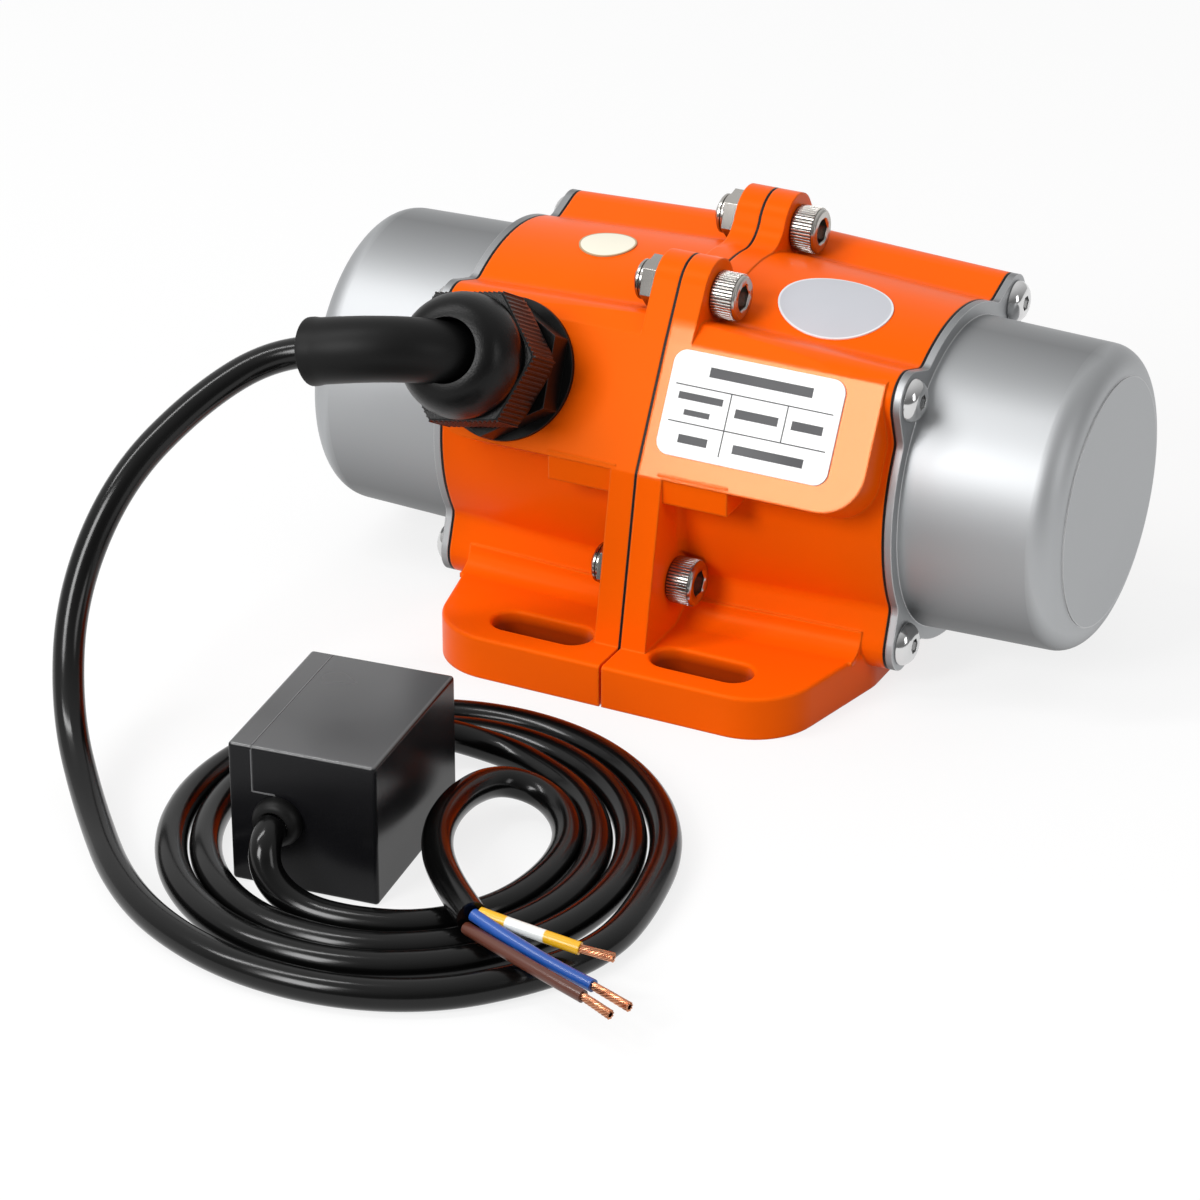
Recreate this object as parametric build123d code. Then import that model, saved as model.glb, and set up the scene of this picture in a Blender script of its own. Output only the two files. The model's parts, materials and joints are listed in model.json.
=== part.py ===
from build123d import *
import os
from math import cos, pi, radians, sin, sqrt, tan

os.makedirs("parts", exist_ok=True)

# Frame: X along the shaft, Y from front (-) to rear (+), Z up, origin at the
# middle of the foot face. All lengths are millimetres, all angles degrees.

# How close an edge or corner has to lie to a place to be picked for a fillet
PICK_GAP = 0.01

# Housing
AXIS_HEIGHT = 39.5
HOUSING_HALF_LENGTH = 52.0
PARTING_GAP = 0.6
BARREL_RADIUS_MIDDLE = 39.5
BARREL_RADIUS_END = 37.0
BORE_RADIUS = 33.5
EAR_RADIUS_MIDDLE = 8.0
EAR_RADIUS_END = 6.0
EAR_ROOT_SPREAD = 6.2
EAR_ROOT_DEPTH = 14.0
EAR_NOTCH_FILLET = 3.0
CASTING_FILLET = 2.0

# Clamp flange at the parting plane
FLANGE_THICKNESS = 6.0
FLANGE_TOP_BOLT_Y = 20.3
FLANGE_TOP_BOLT_Z = 79.5
FLANGE_TOP_EAR_RADIUS = 7.6
FLANGE_LOW_BOLT_Y = 40.8
FLANGE_LOW_BOLT_Z = 21.2
FLANGE_FOOT_Y = 57.2
SADDLE_FILLET = 7.0
CLEARANCE_HOLE = 0.3

# Foot plate
FOOT_THICKNESS = 9.7
FOOT_HALF_DEPTH = 64.5
FOOT_SIDE_SETBACK = 3.5
FOOT_SIDE_HALF_WIDTH = HOUSING_HALF_LENGTH - FOOT_SIDE_SETBACK
FOOT_FRONT_TAPER = 7.5
FOOT_FRONT_HALF_WIDTH = FOOT_SIDE_HALF_WIDTH - FOOT_FRONT_TAPER
FOOT_SIDE_Y = 30.0
FOOT_CORNER_RADIUS = 15.0
FOOT_SIDE_RADIUS = 12.0
FOOT_EDGE_ROUND = 0.8
FOOT_WALL_FILLET = 5.0
FOOT_WALL_SETBACK = 1.5
FOOT_WALL_INSET = 0.2
FOOT_WALL_SPARE = 3.0
FLANGE_OVERLAP = 0.5
SLOT_X = 19.0
SLOT_Y = 54.0
SLOT_WIDTH = 9.0
SLOT_LENGTH = 23.4

# Sloping pad on the front of each half
PAD_ANGLE = 29.2
PAD_DISTANCE = 45.3
PAD_LOW = -16.2
PAD_HIGH = 12.7
PAD_END_SETBACK = 1.5
PAD_END = HOUSING_HALF_LENGTH - PAD_END_SETBACK
PAD_CORNER_RADIUS = 9.5
PAD_DEPTH = 15.0
PAD_CHAMFER_ANGLE = 35.0
PAD_STEP_END = 21.0
PAD_STEP_HEIGHT = 5.6
PAD_STEP_INSET = 0.3
PAD_STEP_OVERLAP = 0.5
PLATE_START = 3.0
PLATE_WIDTH = 39.3
PLATE_HEIGHT = 22.5
PLATE_MIDDLE = 0.5
PLATE_CORNER = 3.0
PLATE_THICKNESS = 0.4

# Oval stickers on the barrel tops
RIGHT_OVAL_X = 28.1
RIGHT_OVAL_ANGLE = 103.4
RIGHT_OVAL_LENGTH = 25.2
RIGHT_OVAL_WIDTH = 20.4
LEFT_OVAL_X = -28.9
LEFT_OVAL_ANGLE = 94.0
LEFT_OVAL_LENGTH = 13.0
LEFT_OVAL_WIDTH = 11.4
STICKER_THICKNESS = 0.3

# Drawn end caps, their gaskets and screws
GASKET_THICKNESS = 0.6
CAP_FLANGE_THICKNESS = 1.6
CAP_WALL = 1.2
CAP_ROOT_RADIUS = 34.1
CAP_END_RADIUS = 33.2
CAP_REACH = 36.5
CAP_END_X = HOUSING_HALF_LENGTH + CAP_REACH
CAP_END_ROUND = 6.0
CAP_DISC_RADIUS = 27.2
CAP_DISC_RISE = 0.3
END_SCREW_OFFSET = 28.5
END_SCREW_RADIUS = 2.5
END_SCREW_LENGTH = 12.0
END_SCREW_HEAD_RADIUS = 4.75
END_SCREW_HEAD_HEIGHT = 2.75
END_SCREW_SOCKET = 3.0
END_SCREW_SOCKET_DEPTH = 1.6
END_SCREW_ROUND_SHARE = 0.8

# Flange bolts and lock nuts
BOLT_RADIUS = 3.0
BOLT_HEAD_RADIUS = 5.0
BOLT_HEAD_HEIGHT = 6.0
BOLT_SOCKET = 5.0
BOLT_SOCKET_DEPTH = 3.0
BOLT_HEAD_CHAMFER = 0.5
BOLT_END_PAST_NUT = 0.8
NUT_WIDTH = 10.0
NUT_HEX_HEIGHT = 4.4
NUT_COLLAR_RADIUS = 4.5
NUT_COLLAR_HEIGHT = 1.6
THREAD_GAP = 0.05

# Bearings, shaft and rotor
BEARING_BORE_RADIUS = 6.0
BEARING_OUTER_RADIUS = 16.0
BEARING_WIDTH = 10.0
BEARING_SETBACK = 15.0
BEARING_START = HOUSING_HALF_LENGTH - BEARING_SETBACK
RACE_INNER_RADIUS = 9.0
RACE_OUTER_RADIUS = 13.0
BALL_COUNT = 7
BALL_RADIUS = 2.5
BALL_GAP = 0.1
CAGE_WALL = 1.0
CAGE_WIDTH = 6.4
WASHER_THICKNESS = 0.6
WASHER_CLEARANCE = 0.3
HUB_WALL = 4.0
HUB_LEAD = 2.0
HUB_START = BEARING_START - HUB_LEAD
WEB_SETBACK = 2.0
WEB_START = BEARING_START + WEB_SETBACK
WEB_THICKNESS = 4.5
BEARING_LIP = 2.0
SHAFT_BODY_RADIUS = 7.5
SHAFT_CHAMFER = 0.6
SHAFT_PAST_CIRCLIP = 2.5
STACK_HALF_LENGTH = 22.0
ROTOR_RADIUS = 17.0
AIR_GAP = 0.3
END_RING_THICKNESS = 4.0
END_RING_WALL = 6.0
STATOR_SLOTS = 12
STATOR_SLOT_WIDTH = 5.0
STATOR_SLOT_MOUTH = 2.0
STATOR_TOOTH_TIP = 1.5
STATOR_SLOT_DEPTH = 8.5
LINER_GAP = 0.3
WINDING_OVERHANG = 8.0

# Eccentric weights
SPACER_LENGTH = 5.0
SPACER_WALL = 2.5
WEIGHT_THICKNESS = 8.0
WEIGHT_RADIUS = 30.0
WEIGHT_HALF_ANGLE = 75.0
WEIGHT_HUB_RADIUS = 11.0
WEIGHT_GAP = 0.3
WEIGHT_BORE_GAP = 0.04
CLAMP_BLOCK_WIDTH = 20.0
CLAMP_BLOCK_TOP = 13.0
CLAMP_SLIT = 1.5
CLAMP_SCREW_RADIUS = 2.0
CLAMP_SCREW_Z = 9.0
CLAMP_HEAD_RADIUS = 3.5
CLAMP_HEAD_HEIGHT = 4.0
CLAMP_SOCKET = 3.0
CLAMP_SOCKET_DEPTH = 2.0
KEY_WIDTH = 4.0
KEY_HEIGHT = 4.0
KEY_DEPTH = 2.3
CIRCLIP_THICKNESS = 1.0
CIRCLIP_WALL = 2.2
CIRCLIP_GROOVE = 0.5
CIRCLIP_OPENING = 3.0

# Cable gland on the left pad
GLAND_X = 34.5
GLAND_THREAD_RADIUS = 10.0
GLAND_THREAD_LENGTH = 8.5
GLAND_GASKET_RADIUS = 15.6
GLAND_GASKET_THICKNESS = 1.2
GLAND_HEX = 27.0
GLAND_HEX_HEIGHT = 7.0
GLAND_HEX_TRIM = 0.575
GLAND_BODY_TURN = 33.5
GLAND_NECK_RADIUS = 10.5
GLAND_NECK_LENGTH = 7.6
GLAND_WALL = 3.0
NUT_GAP = 0.4
DOME_HEX_HEIGHT = 13.0
DOME_TURN = 10.7
DOME_RADIUS = 13.2
DOME_HEIGHT = 10.5
DOME_ROUND = 7.5

# Cables: radii and hand-chosen routes on and above the floor
SLEEVE_RADIUS = 6.7
MOTOR_LEAD_RADIUS = 3.3
MAINS_LEAD_RADIUS = 3.2
WIRE_RADIUS = 1.3
STRAND_RADIUS = 1.0
SLEEVE_START = 17.0
SLEEVE_TURN = 42.0
SLEEVE_END = (-60.5, -77.0, 75.5)
SLEEVE_END_RUN = 9.0
BEND_SHARE = 0.45
MOTOR_LEAD_ROUTE = [
    (-80.0, -92.0, 66.5),
    (-88.5, -110.0, 54.0),
    (-92.5, -124.0, 33.0),
    (-86.0, -138.0, 14.0),
    (-70.5, -155.0, 4.2),
    (-47.0, -180.0, MOTOR_LEAD_RADIUS),
    (-22.0, -192.5, MOTOR_LEAD_RADIUS),
    (3.0, -194.5, MOTOR_LEAD_RADIUS),
    (25.0, -187.0, MOTOR_LEAD_RADIUS),
    (40.0, -171.0, MOTOR_LEAD_RADIUS),
    (47.0, -156.0, MOTOR_LEAD_RADIUS),
]
COIL_CENTRE = (-4.5, -134.2)
COIL_OUTER_HALF_WIDTH = 53.4
COIL_OUTER_HALF_DEPTH = 54.4
COIL_OPENING_CENTRE = (-7.3, -134.0)
COIL_OPENING_HALF_WIDTH = 38.6
COIL_OPENING_HALF_DEPTH = 41.0
MOTOR_TAIL_ROUTE = [
    (14.0, -101.5, MOTOR_LEAD_RADIUS),
    (3.0, -97.5, MOTOR_LEAD_RADIUS),
    (-9.0, -96.3, 3.9),
    (-19.0, -99.5, 6.5),
    (-23.3, -107.3, 9.2),
]
MAINS_LEAD_ROUTE = [
    (-22.3, -167.0, 14.6),
    (-20.2, -169.8, 8.6),
    (-13.0, -170.2, 3.8),
    (-1.5, -169.6, MAINS_LEAD_RADIUS),
    (12.0, -164.8, MAINS_LEAD_RADIUS),
    (22.0, -152.5, MAINS_LEAD_RADIUS),
    (25.0, -136.0, MAINS_LEAD_RADIUS),
    (22.0, -120.5, 3.6),
    (12.0, -110.5, 5.0),
    (1.5, -112.5, 7.5),
    (-1.0, -126.0, 9.6),
    (2.5, -143.0, 10.4),
    (12.5, -157.5, 10.4),
    (24.0, -167.5, 10.4),
]
WIRE_ROUTES = {
    "wire_yellow": [(25.5, -166.9, 11.2), (36.0, -167.4, 10.4), (47.0, -166.9, 9.2)],
    "wire_blue": [(24.6, -167.9, 8.8), (40.0, -173.3, 9.2), (55.0, -177.4, 9.0)],
    "wire_brown": [(23.7, -169.1, 11.2), (38.0, -176.4, 9.8), (55.0, -181.6, 9.0)],
}
STRAND_TIPS = {
    "wire_yellow": (53.9, -166.4, 8.8),
    "wire_blue": (64.0, -180.2, 8.4),
    "wire_brown": (62.0, -184.2, 8.4),
}

# Capacitor box, standing on the floor and turned a little
BOX_CORNER = (-33.6, -160.6)
BOX_TURN = 6.0
BOX_WIDTH = 31.4
BOX_DEPTH = 41.2
BOX_HEIGHT = 31.0
BOX_WALL = 2.0
BOX_EDGE_ROUND = 0.8
LID_THICKNESS = 5.1
LID_STEP_WIDTH = 4.8
LID_STEP_HEIGHT = 20.8
GROMMET_X = 10.6
GROMMET_Z = 15.5
REAR_GROMMET_X = 15.7
REAR_GROMMET_Z = 9.5
GROMMET_RADIUS = 5.2
GROMMET_NECK_RADIUS = 4.2
GROMMET_LENGTH = 3.2
CAPACITOR_SIZE = (22.0, 33.0, 22.0)


def section_plane(x):
    """Plane across the shaft at x, with its own x along Y and y along Z."""
    return Plane(origin=(x, 0, AXIS_HEIGHT), x_dir=(0, 1, 0), z_dir=(1, 0, 0))


def disc(radius, x_start, x_end, y=0.0, z=AXIS_HEIGHT):
    """Solid cylinder along X."""
    profile = section_plane(x_start) * Pos(y, z - AXIS_HEIGHT) * Circle(radius)
    return extrude(profile, x_end - x_start)


def ring(outer, inner, x_start, x_end):
    """Plain ring about the shaft axis."""
    profile = Circle(outer) - Circle(inner)
    return extrude(section_plane(x_start) * profile, x_end - x_start)


END_SCREW_SPOTS = [
    (side_y * END_SCREW_OFFSET, side_z * END_SCREW_OFFSET)
    for side_y in (-1, 1)
    for side_z in (-1, 1)
]
PAD_PLANE = Plane(
    origin=(
        0,
        -PAD_DISTANCE * cos(radians(PAD_ANGLE)),
        AXIS_HEIGHT + PAD_DISTANCE * sin(radians(PAD_ANGLE)),
    ),
    x_dir=(1, 0, 0),
    z_dir=(0, -cos(radians(PAD_ANGLE)), sin(radians(PAD_ANGLE))),
)


def corner_tab(ear_radius):
    """One screw ear of the round section, widening towards the barrel."""
    root = END_SCREW_OFFSET - EAR_ROOT_DEPTH / sqrt(2)
    tip = Pos(END_SCREW_OFFSET, END_SCREW_OFFSET) * Circle(ear_radius)
    base = Pos(root, root) * Circle(ear_radius + EAR_ROOT_SPREAD)
    return make_hull(tip.edges() + base.edges())


def barrel_outline(barrel_radius, ear_radius):
    """Section of the barrel with its four corner ears."""
    tab = corner_tab(ear_radius)
    outline = Sketch() + Circle(barrel_radius)
    for quarter in range(4):
        outline += Rot(0, 0, 90 * quarter) * tab
    notches = [
        corner
        for corner in outline.vertices()
        if abs(sqrt(corner.X**2 + corner.Y**2) - barrel_radius) < PICK_GAP
    ]
    return fillet(notches, EAR_NOTCH_FILLET)


def flange_side(side):
    """Outline of the clamp flange on one side, side being -1 in front and 1 behind."""
    slope = radians(PAD_ANGLE)
    face_y = PAD_DISTANCE * cos(slope)
    face_z = PAD_DISTANCE * sin(slope)
    knee = (side * (face_y - PAD_LOW * sin(slope)), face_z + PAD_LOW * cos(slope))
    shoulder = (side * (face_y - PAD_HIGH * sin(slope)), face_z + PAD_HIGH * cos(slope))
    foot = (side * FLANGE_FOOT_Y, -AXIS_HEIGHT)
    ear = Pos(side * FLANGE_TOP_BOLT_Y, FLANGE_TOP_BOLT_Z - AXIS_HEIGHT) * Circle(FLANGE_TOP_EAR_RADIUS)
    corners = Polyline((0, -AXIS_HEIGHT), foot, knee, shoulder)
    return make_hull(ear.edges() + corners.edges())


def saddle_fillet_centre(side):
    """Centre of the arc that joins a top ear to the barrel, tangent to both."""
    ear = Vector(side * FLANGE_TOP_BOLT_Y, FLANGE_TOP_BOLT_Z - AXIS_HEIGHT)
    from_axis = BARREL_RADIUS_MIDDLE + SADDLE_FILLET
    from_ear = FLANGE_TOP_EAR_RADIUS + SADDLE_FILLET
    along = (ear.length**2 + from_axis**2 - from_ear**2) / (2 * ear.length)
    across = sqrt(from_axis**2 - along**2)
    towards_ear = ear.normalized()
    return towards_ear * along + Vector(-side * towards_ear.Y, side * towards_ear.X) * across


def flange_profile():
    """Whole outline of the clamp flange, measured from the shaft axis."""
    outline = flange_side(-1) + flange_side(1) + Circle(BARREL_RADIUS_MIDDLE)
    for side in (-1, 1):
        ear = (side * FLANGE_TOP_BOLT_Y, FLANGE_TOP_BOLT_Z - AXIS_HEIGHT)
        centre = saddle_fillet_centre(side)
        outline += make_face(Polyline((0, 0), ear, (centre.X, centre.Y), close=True))
    for side in (-1, 1):
        centre = saddle_fillet_centre(side)
        outline -= Pos(centre.X, centre.Y) * Circle(SADDLE_FILLET)
    return outline


def at_flange_face(edge, low_y, high_y, high_z):
    """True for an edge on the flange's outer face that lies in the given range."""
    box = edge.bounding_box()
    on_face = abs(box.min.X - FLANGE_THICKNESS) < PICK_GAP and abs(box.max.X - FLANGE_THICKNESS) < PICK_GAP
    inside = box.min.Y > low_y and box.max.Y < high_y and box.max.Z < high_z
    return on_face and inside and box.min.Z > FOOT_THICKNESS - PICK_GAP


def foot_outline():
    """Foot plate outline of the right half, seen from above."""
    points = [
        (PARTING_GAP / 2, -FOOT_HALF_DEPTH),
        (FOOT_FRONT_HALF_WIDTH, -FOOT_HALF_DEPTH),
        (FOOT_SIDE_HALF_WIDTH, -FOOT_SIDE_Y),
        (FOOT_SIDE_HALF_WIDTH, FOOT_SIDE_Y),
        (FOOT_FRONT_HALF_WIDTH, FOOT_HALF_DEPTH),
        (PARTING_GAP / 2, FOOT_HALF_DEPTH),
    ]
    plate = make_face(Polyline(points, close=True))
    corners = [c for c in plate.vertices() if abs(c.X - FOOT_FRONT_HALF_WIDTH) < PICK_GAP]
    plate = fillet(corners, FOOT_CORNER_RADIUS)
    sides = [c for c in plate.vertices() if abs(c.X - FOOT_SIDE_HALF_WIDTH) < PICK_GAP]
    plate = fillet(sides, FOOT_SIDE_RADIUS)
    slots = [
        Pos(SLOT_X, side * SLOT_Y) * SlotOverall(SLOT_LENGTH, SLOT_WIDTH) for side in (-1, 1)
    ]
    return plate - slots[0] - slots[1]


def foot_plate():
    """Foot plate of the right half with a softened top edge."""
    plate = extrude(foot_outline(), FOOT_THICKNESS)
    top_edges = [
        e
        for e in plate.edges().filter_by_position(Axis.Z, FOOT_THICKNESS - PICK_GAP, FOOT_THICKNESS + PICK_GAP)
        if e.bounding_box().min.X > PARTING_GAP / 2 - PICK_GAP
        and e.bounding_box().max.X > PARTING_GAP / 2 + PICK_GAP
    ]
    return fillet(top_edges, FOOT_EDGE_ROUND)


def wall_fillet(side):
    """Hollow fillet between the foot plate and the lower ears on one side."""
    sections = []
    ends = (
        (FLANGE_THICKNESS - FLANGE_OVERLAP, EAR_RADIUS_MIDDLE),
        (FOOT_SIDE_HALF_WIDTH - FOOT_WALL_SETBACK, EAR_RADIUS_END),
    )
    for x, ear_radius in ends:
        wall = END_SCREW_OFFSET + ear_radius - FOOT_WALL_INSET
        width = FOOT_WALL_FILLET + FOOT_WALL_SPARE
        height = FOOT_WALL_FILLET + 1
        middle = Pos(side * (wall + FOOT_WALL_FILLET - width / 2), FOOT_THICKNESS - 1 + height / 2)
        hollow = Pos(side * (wall + FOOT_WALL_FILLET), FOOT_THICKNESS + FOOT_WALL_FILLET)
        profile = middle * Rectangle(width, height) - hollow * Circle(FOOT_WALL_FILLET)
        place = Plane(origin=(x, 0, 0), x_dir=(0, 1, 0), z_dir=(1, 0, 0))
        sections.append(place * profile)
    return loft(sections, ruled=True)


def pad_block():
    """Sloping front pad of the right half, flush with the flange edge."""
    face = Pos(PAD_END / 2, (PAD_LOW + PAD_HIGH) / 2) * Rectangle(PAD_END, PAD_HIGH - PAD_LOW)
    corner = [c for c in face.vertices() if c.X > PAD_END / 2 and c.Y < 0]
    face = fillet(corner, PAD_CORNER_RADIUS)
    return extrude(PAD_PLANE * face, -PAD_DEPTH)


def pad_corner():
    """Position (y, z) of the upper edge of the pad face."""
    slope = radians(PAD_ANGLE)
    y = -PAD_DISTANCE * cos(slope) + PAD_HIGH * sin(slope)
    z = AXIS_HEIGHT + PAD_DISTANCE * sin(slope) + PAD_HIGH * cos(slope)
    return y, z


def pad_shoulder():
    """Filling between the pad's upper edge and the top of the ear."""
    y, z = pad_corner()
    ear_y = -END_SCREW_OFFSET
    ear_z = AXIS_HEIGHT + END_SCREW_OFFSET
    face = make_face(Polyline((y, z), (ear_y, ear_z + EAR_RADIUS_END), (ear_y, ear_z), close=True))
    place = Plane(origin=(0, 0, 0), x_dir=(0, 1, 0), z_dir=(1, 0, 0))
    return extrude(place * face, PAD_END)


def pad_clearance():
    """Everything in front of the pad plane and above its chamfer."""
    slope = radians(PAD_ANGLE)
    tilt = radians(PAD_CHAMFER_ANGLE)
    reach = 2 * EAR_RADIUS_MIDDLE
    y, z = pad_corner()
    drop = 2 * (PAD_HIGH - PAD_LOW)
    low = (y - drop * sin(slope), z - drop * cos(slope))
    face = make_face(
        Polyline(
            low, (y, z), (y + reach * cos(tilt), z + reach * sin(tilt)), (y - reach, z + reach),
            (low[0] - reach, low[1]), close=True
        )
    )
    place = Plane(origin=(0, 0, 0), x_dir=(0, 1, 0), z_dir=(1, 0, 0))
    return extrude(place * face, 2 * HOUSING_HALF_LENGTH)


def pad_step():
    """Small lug under the pad next to the flange."""
    slope = radians(PAD_ANGLE)
    low_y = -PAD_DISTANCE * cos(slope) + PAD_LOW * sin(slope)
    low_z = AXIS_HEIGHT + PAD_DISTANCE * sin(slope) + PAD_LOW * cos(slope)
    start = FLANGE_THICKNESS - 1
    length = PAD_STEP_END - start
    depth = PAD_DEPTH - FLANGE_THICKNESS
    middle_y = low_y + depth / 2 + PAD_STEP_INSET
    middle_z = low_z - PAD_STEP_HEIGHT / 2 + PAD_STEP_OVERLAP
    height = PAD_STEP_HEIGHT + 2 * PAD_STEP_OVERLAP
    return Pos(start + length / 2, middle_y, middle_z) * Box(length, depth, height)


def bearing_seat(washer_thickness):
    """Inner wall and hub that hold a bearing in the right half."""
    hub_radius = BEARING_OUTER_RADIUS + HUB_WALL
    hub = ring(hub_radius, BEARING_OUTER_RADIUS, HUB_START, BEARING_START + BEARING_WIDTH)
    web = ring(BORE_RADIUS + 1, hub_radius - 1, WEB_START, WEB_START + WEB_THICKNESS)
    lip_end = BEARING_START - washer_thickness
    lip = ring(hub_radius - 1, BEARING_OUTER_RADIUS - BEARING_LIP, HUB_START, lip_end)
    return hub + web + lip


FLANGE_BOLT_SPOTS = [
    (side * y, z)
    for side in (-1, 1)
    for y, z in ((FLANGE_TOP_BOLT_Y, FLANGE_TOP_BOLT_Z), (FLANGE_LOW_BOLT_Y, FLANGE_LOW_BOLT_Z))
]


def housing_half(with_gland, washer_thickness):
    """One cast half, built on the right side of the parting plane."""
    start = PARTING_GAP / 2
    sections = [
        section_plane(start) * barrel_outline(BARREL_RADIUS_MIDDLE, EAR_RADIUS_MIDDLE),
        section_plane(HOUSING_HALF_LENGTH) * barrel_outline(BARREL_RADIUS_END, EAR_RADIUS_END),
    ]
    half = loft(sections, ruled=True) - pad_clearance() + pad_shoulder()
    half += extrude(section_plane(start) * flange_profile(), FLANGE_THICKNESS - start)
    half += foot_plate() + pad_block()
    half -= Pos(start / 2, 0, AXIS_HEIGHT) * Box(start, 4 * FOOT_HALF_DEPTH, 4 * AXIS_HEIGHT)
    wall = END_SCREW_OFFSET + EAR_RADIUS_MIDDLE
    near, far = wall - EAR_NOTCH_FILLET - CASTING_FILLET / 2, wall + EAR_NOTCH_FILLET + CASTING_FILLET / 2
    rear = [e for e in half.edges() if at_flange_face(e, near, far, AXIS_HEIGHT + wall)]
    half = fillet(rear, CASTING_FILLET)
    front = [e for e in half.edges() if at_flange_face(e, -far, -near, AXIS_HEIGHT + EAR_NOTCH_FILLET)]
    half = fillet(front, CASTING_FILLET)
    half += wall_fillet(-1) + wall_fillet(1)
    half += pad_step()
    half -= disc(BORE_RADIUS, 0, HOUSING_HALF_LENGTH)
    half += bearing_seat(washer_thickness)
    for y, z in FLANGE_BOLT_SPOTS:
        half -= disc(BOLT_RADIUS + CLEARANCE_HOLE, 0, FLANGE_THICKNESS, y, z)
        spotface_end = FLANGE_THICKNESS + NUT_HEX_HEIGHT + CLEARANCE_HOLE
        half -= disc(NUT_WIDTH / sqrt(3) + CLEARANCE_HOLE, FLANGE_THICKNESS, spotface_end, y, z)
    for y, z in END_SCREW_SPOTS:
        depth = END_SCREW_LENGTH
        half -= disc(END_SCREW_RADIUS, HOUSING_HALF_LENGTH - depth, HOUSING_HALF_LENGTH, y, z + AXIS_HEIGHT)
    if with_gland:
        hole = PAD_PLANE * Pos(GLAND_X, 0) * Circle(GLAND_THREAD_RADIUS)
        half -= extrude(hole, -(PAD_DISTANCE - BORE_RADIUS + 1))
    return half


def parting_seal():
    """Thin dark seal between the two flanges."""
    profile = section_plane(-PARTING_GAP / 2) * (flange_profile() - Circle(BORE_RADIUS))
    seal = extrude(profile, PARTING_GAP)
    for y, z in FLANGE_BOLT_SPOTS:
        seal -= disc(BOLT_RADIUS + CLEARANCE_HOLE, -PARTING_GAP, PARTING_GAP, y, z)
    return seal


def cap_section(x_start, thickness, opening):
    """Sheet with the outline of the housing end, its opening and screw holes."""
    outline = barrel_outline(BARREL_RADIUS_END, EAR_RADIUS_END) - Circle(opening)
    for spot in END_SCREW_SPOTS:
        outline -= Pos(*spot) * Circle(END_SCREW_RADIUS + CLEARANCE_HOLE)
    return extrude(section_plane(x_start) * outline, thickness)


def end_cap():
    """Drawn cup with a thin flange."""
    seat = HOUSING_HALF_LENGTH + GASKET_THICKNESS
    face = seat + CAP_FLANGE_THICKNESS
    profile = make_face(
        Polyline(
            (seat, 0), (seat, CAP_ROOT_RADIUS), (face, CAP_ROOT_RADIUS),
            (CAP_END_X, CAP_END_RADIUS), (CAP_END_X, 0), close=True
        )
    )
    corner = [c for c in profile.vertices() if c.X > CAP_END_X - PICK_GAP and c.Y > 1]
    outer = fillet(corner, CAP_END_ROUND)
    inner_end = CAP_END_X - CAP_WALL
    hollow = make_face(
        Polyline(
            (seat, 0), (seat, CAP_ROOT_RADIUS - CAP_WALL), (inner_end, CAP_END_RADIUS - CAP_WALL),
            (inner_end, 0), close=True
        )
    )
    corner = [c for c in hollow.vertices() if c.X > inner_end - PICK_GAP and c.Y > 1]
    inner = fillet(corner, CAP_END_ROUND - CAP_WALL)
    to_axis = Pos(0, 0, AXIS_HEIGHT)
    cup = to_axis * (revolve(outer, Axis.X) - revolve(inner, Axis.X))
    sheet = cap_section(seat, CAP_FLANGE_THICKNESS, CAP_ROOT_RADIUS - CAP_WALL / 2)
    rise = disc(CAP_DISC_RADIUS, CAP_END_X - CAP_WALL / 2, CAP_END_X + CAP_DISC_RISE)
    return cup + sheet + rise


def hex_prism(width, x_start, x_end, y=0.0, z=AXIS_HEIGHT):
    """Hexagonal prism along X, its width given across the flats."""
    profile = RegularPolygon(width / 2, 6, major_radius=False)
    return extrude(section_plane(x_start) * Pos(y, z - AXIS_HEIGHT) * profile, x_end - x_start)


def button_screw(y, z):
    """Button head screw of an end cap, head outwards."""
    face = HOUSING_HALF_LENGTH + GASKET_THICKNESS + CAP_FLANGE_THICKNESS
    shank = disc(END_SCREW_RADIUS - THREAD_GAP, face - END_SCREW_LENGTH, face, y, z)
    head = disc(END_SCREW_HEAD_RADIUS, face, face + END_SCREW_HEAD_HEIGHT, y, z)
    rim = [e for e in head.edges() if e.bounding_box().min.X > face + END_SCREW_HEAD_HEIGHT - PICK_GAP]
    head = fillet(rim, END_SCREW_HEAD_HEIGHT * END_SCREW_ROUND_SHARE)
    top = face + END_SCREW_HEAD_HEIGHT
    socket = hex_prism(END_SCREW_SOCKET, top - END_SCREW_SOCKET_DEPTH, top, y, z)
    return shank + head - socket


def end_cap_screws():
    """The four screws of the right cap."""
    return [button_screw(y, z + AXIS_HEIGHT) for y, z in END_SCREW_SPOTS]


def flange_bolt(y, z):
    """Socket head screw through both flanges, head on the right."""
    nut_end = FLANGE_THICKNESS + NUT_HEX_HEIGHT + NUT_COLLAR_HEIGHT
    shank = disc(BOLT_RADIUS - THREAD_GAP, -nut_end - BOLT_END_PAST_NUT, FLANGE_THICKNESS, y, z)
    top = FLANGE_THICKNESS + BOLT_HEAD_HEIGHT
    head = disc(BOLT_HEAD_RADIUS, FLANGE_THICKNESS, top, y, z)
    rim = [e for e in head.edges() if e.bounding_box().min.X > top - PICK_GAP]
    head = chamfer(rim, BOLT_HEAD_CHAMFER)
    socket = hex_prism(BOLT_SOCKET, top - BOLT_SOCKET_DEPTH, top, y, z)
    return shank + head - socket


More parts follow.
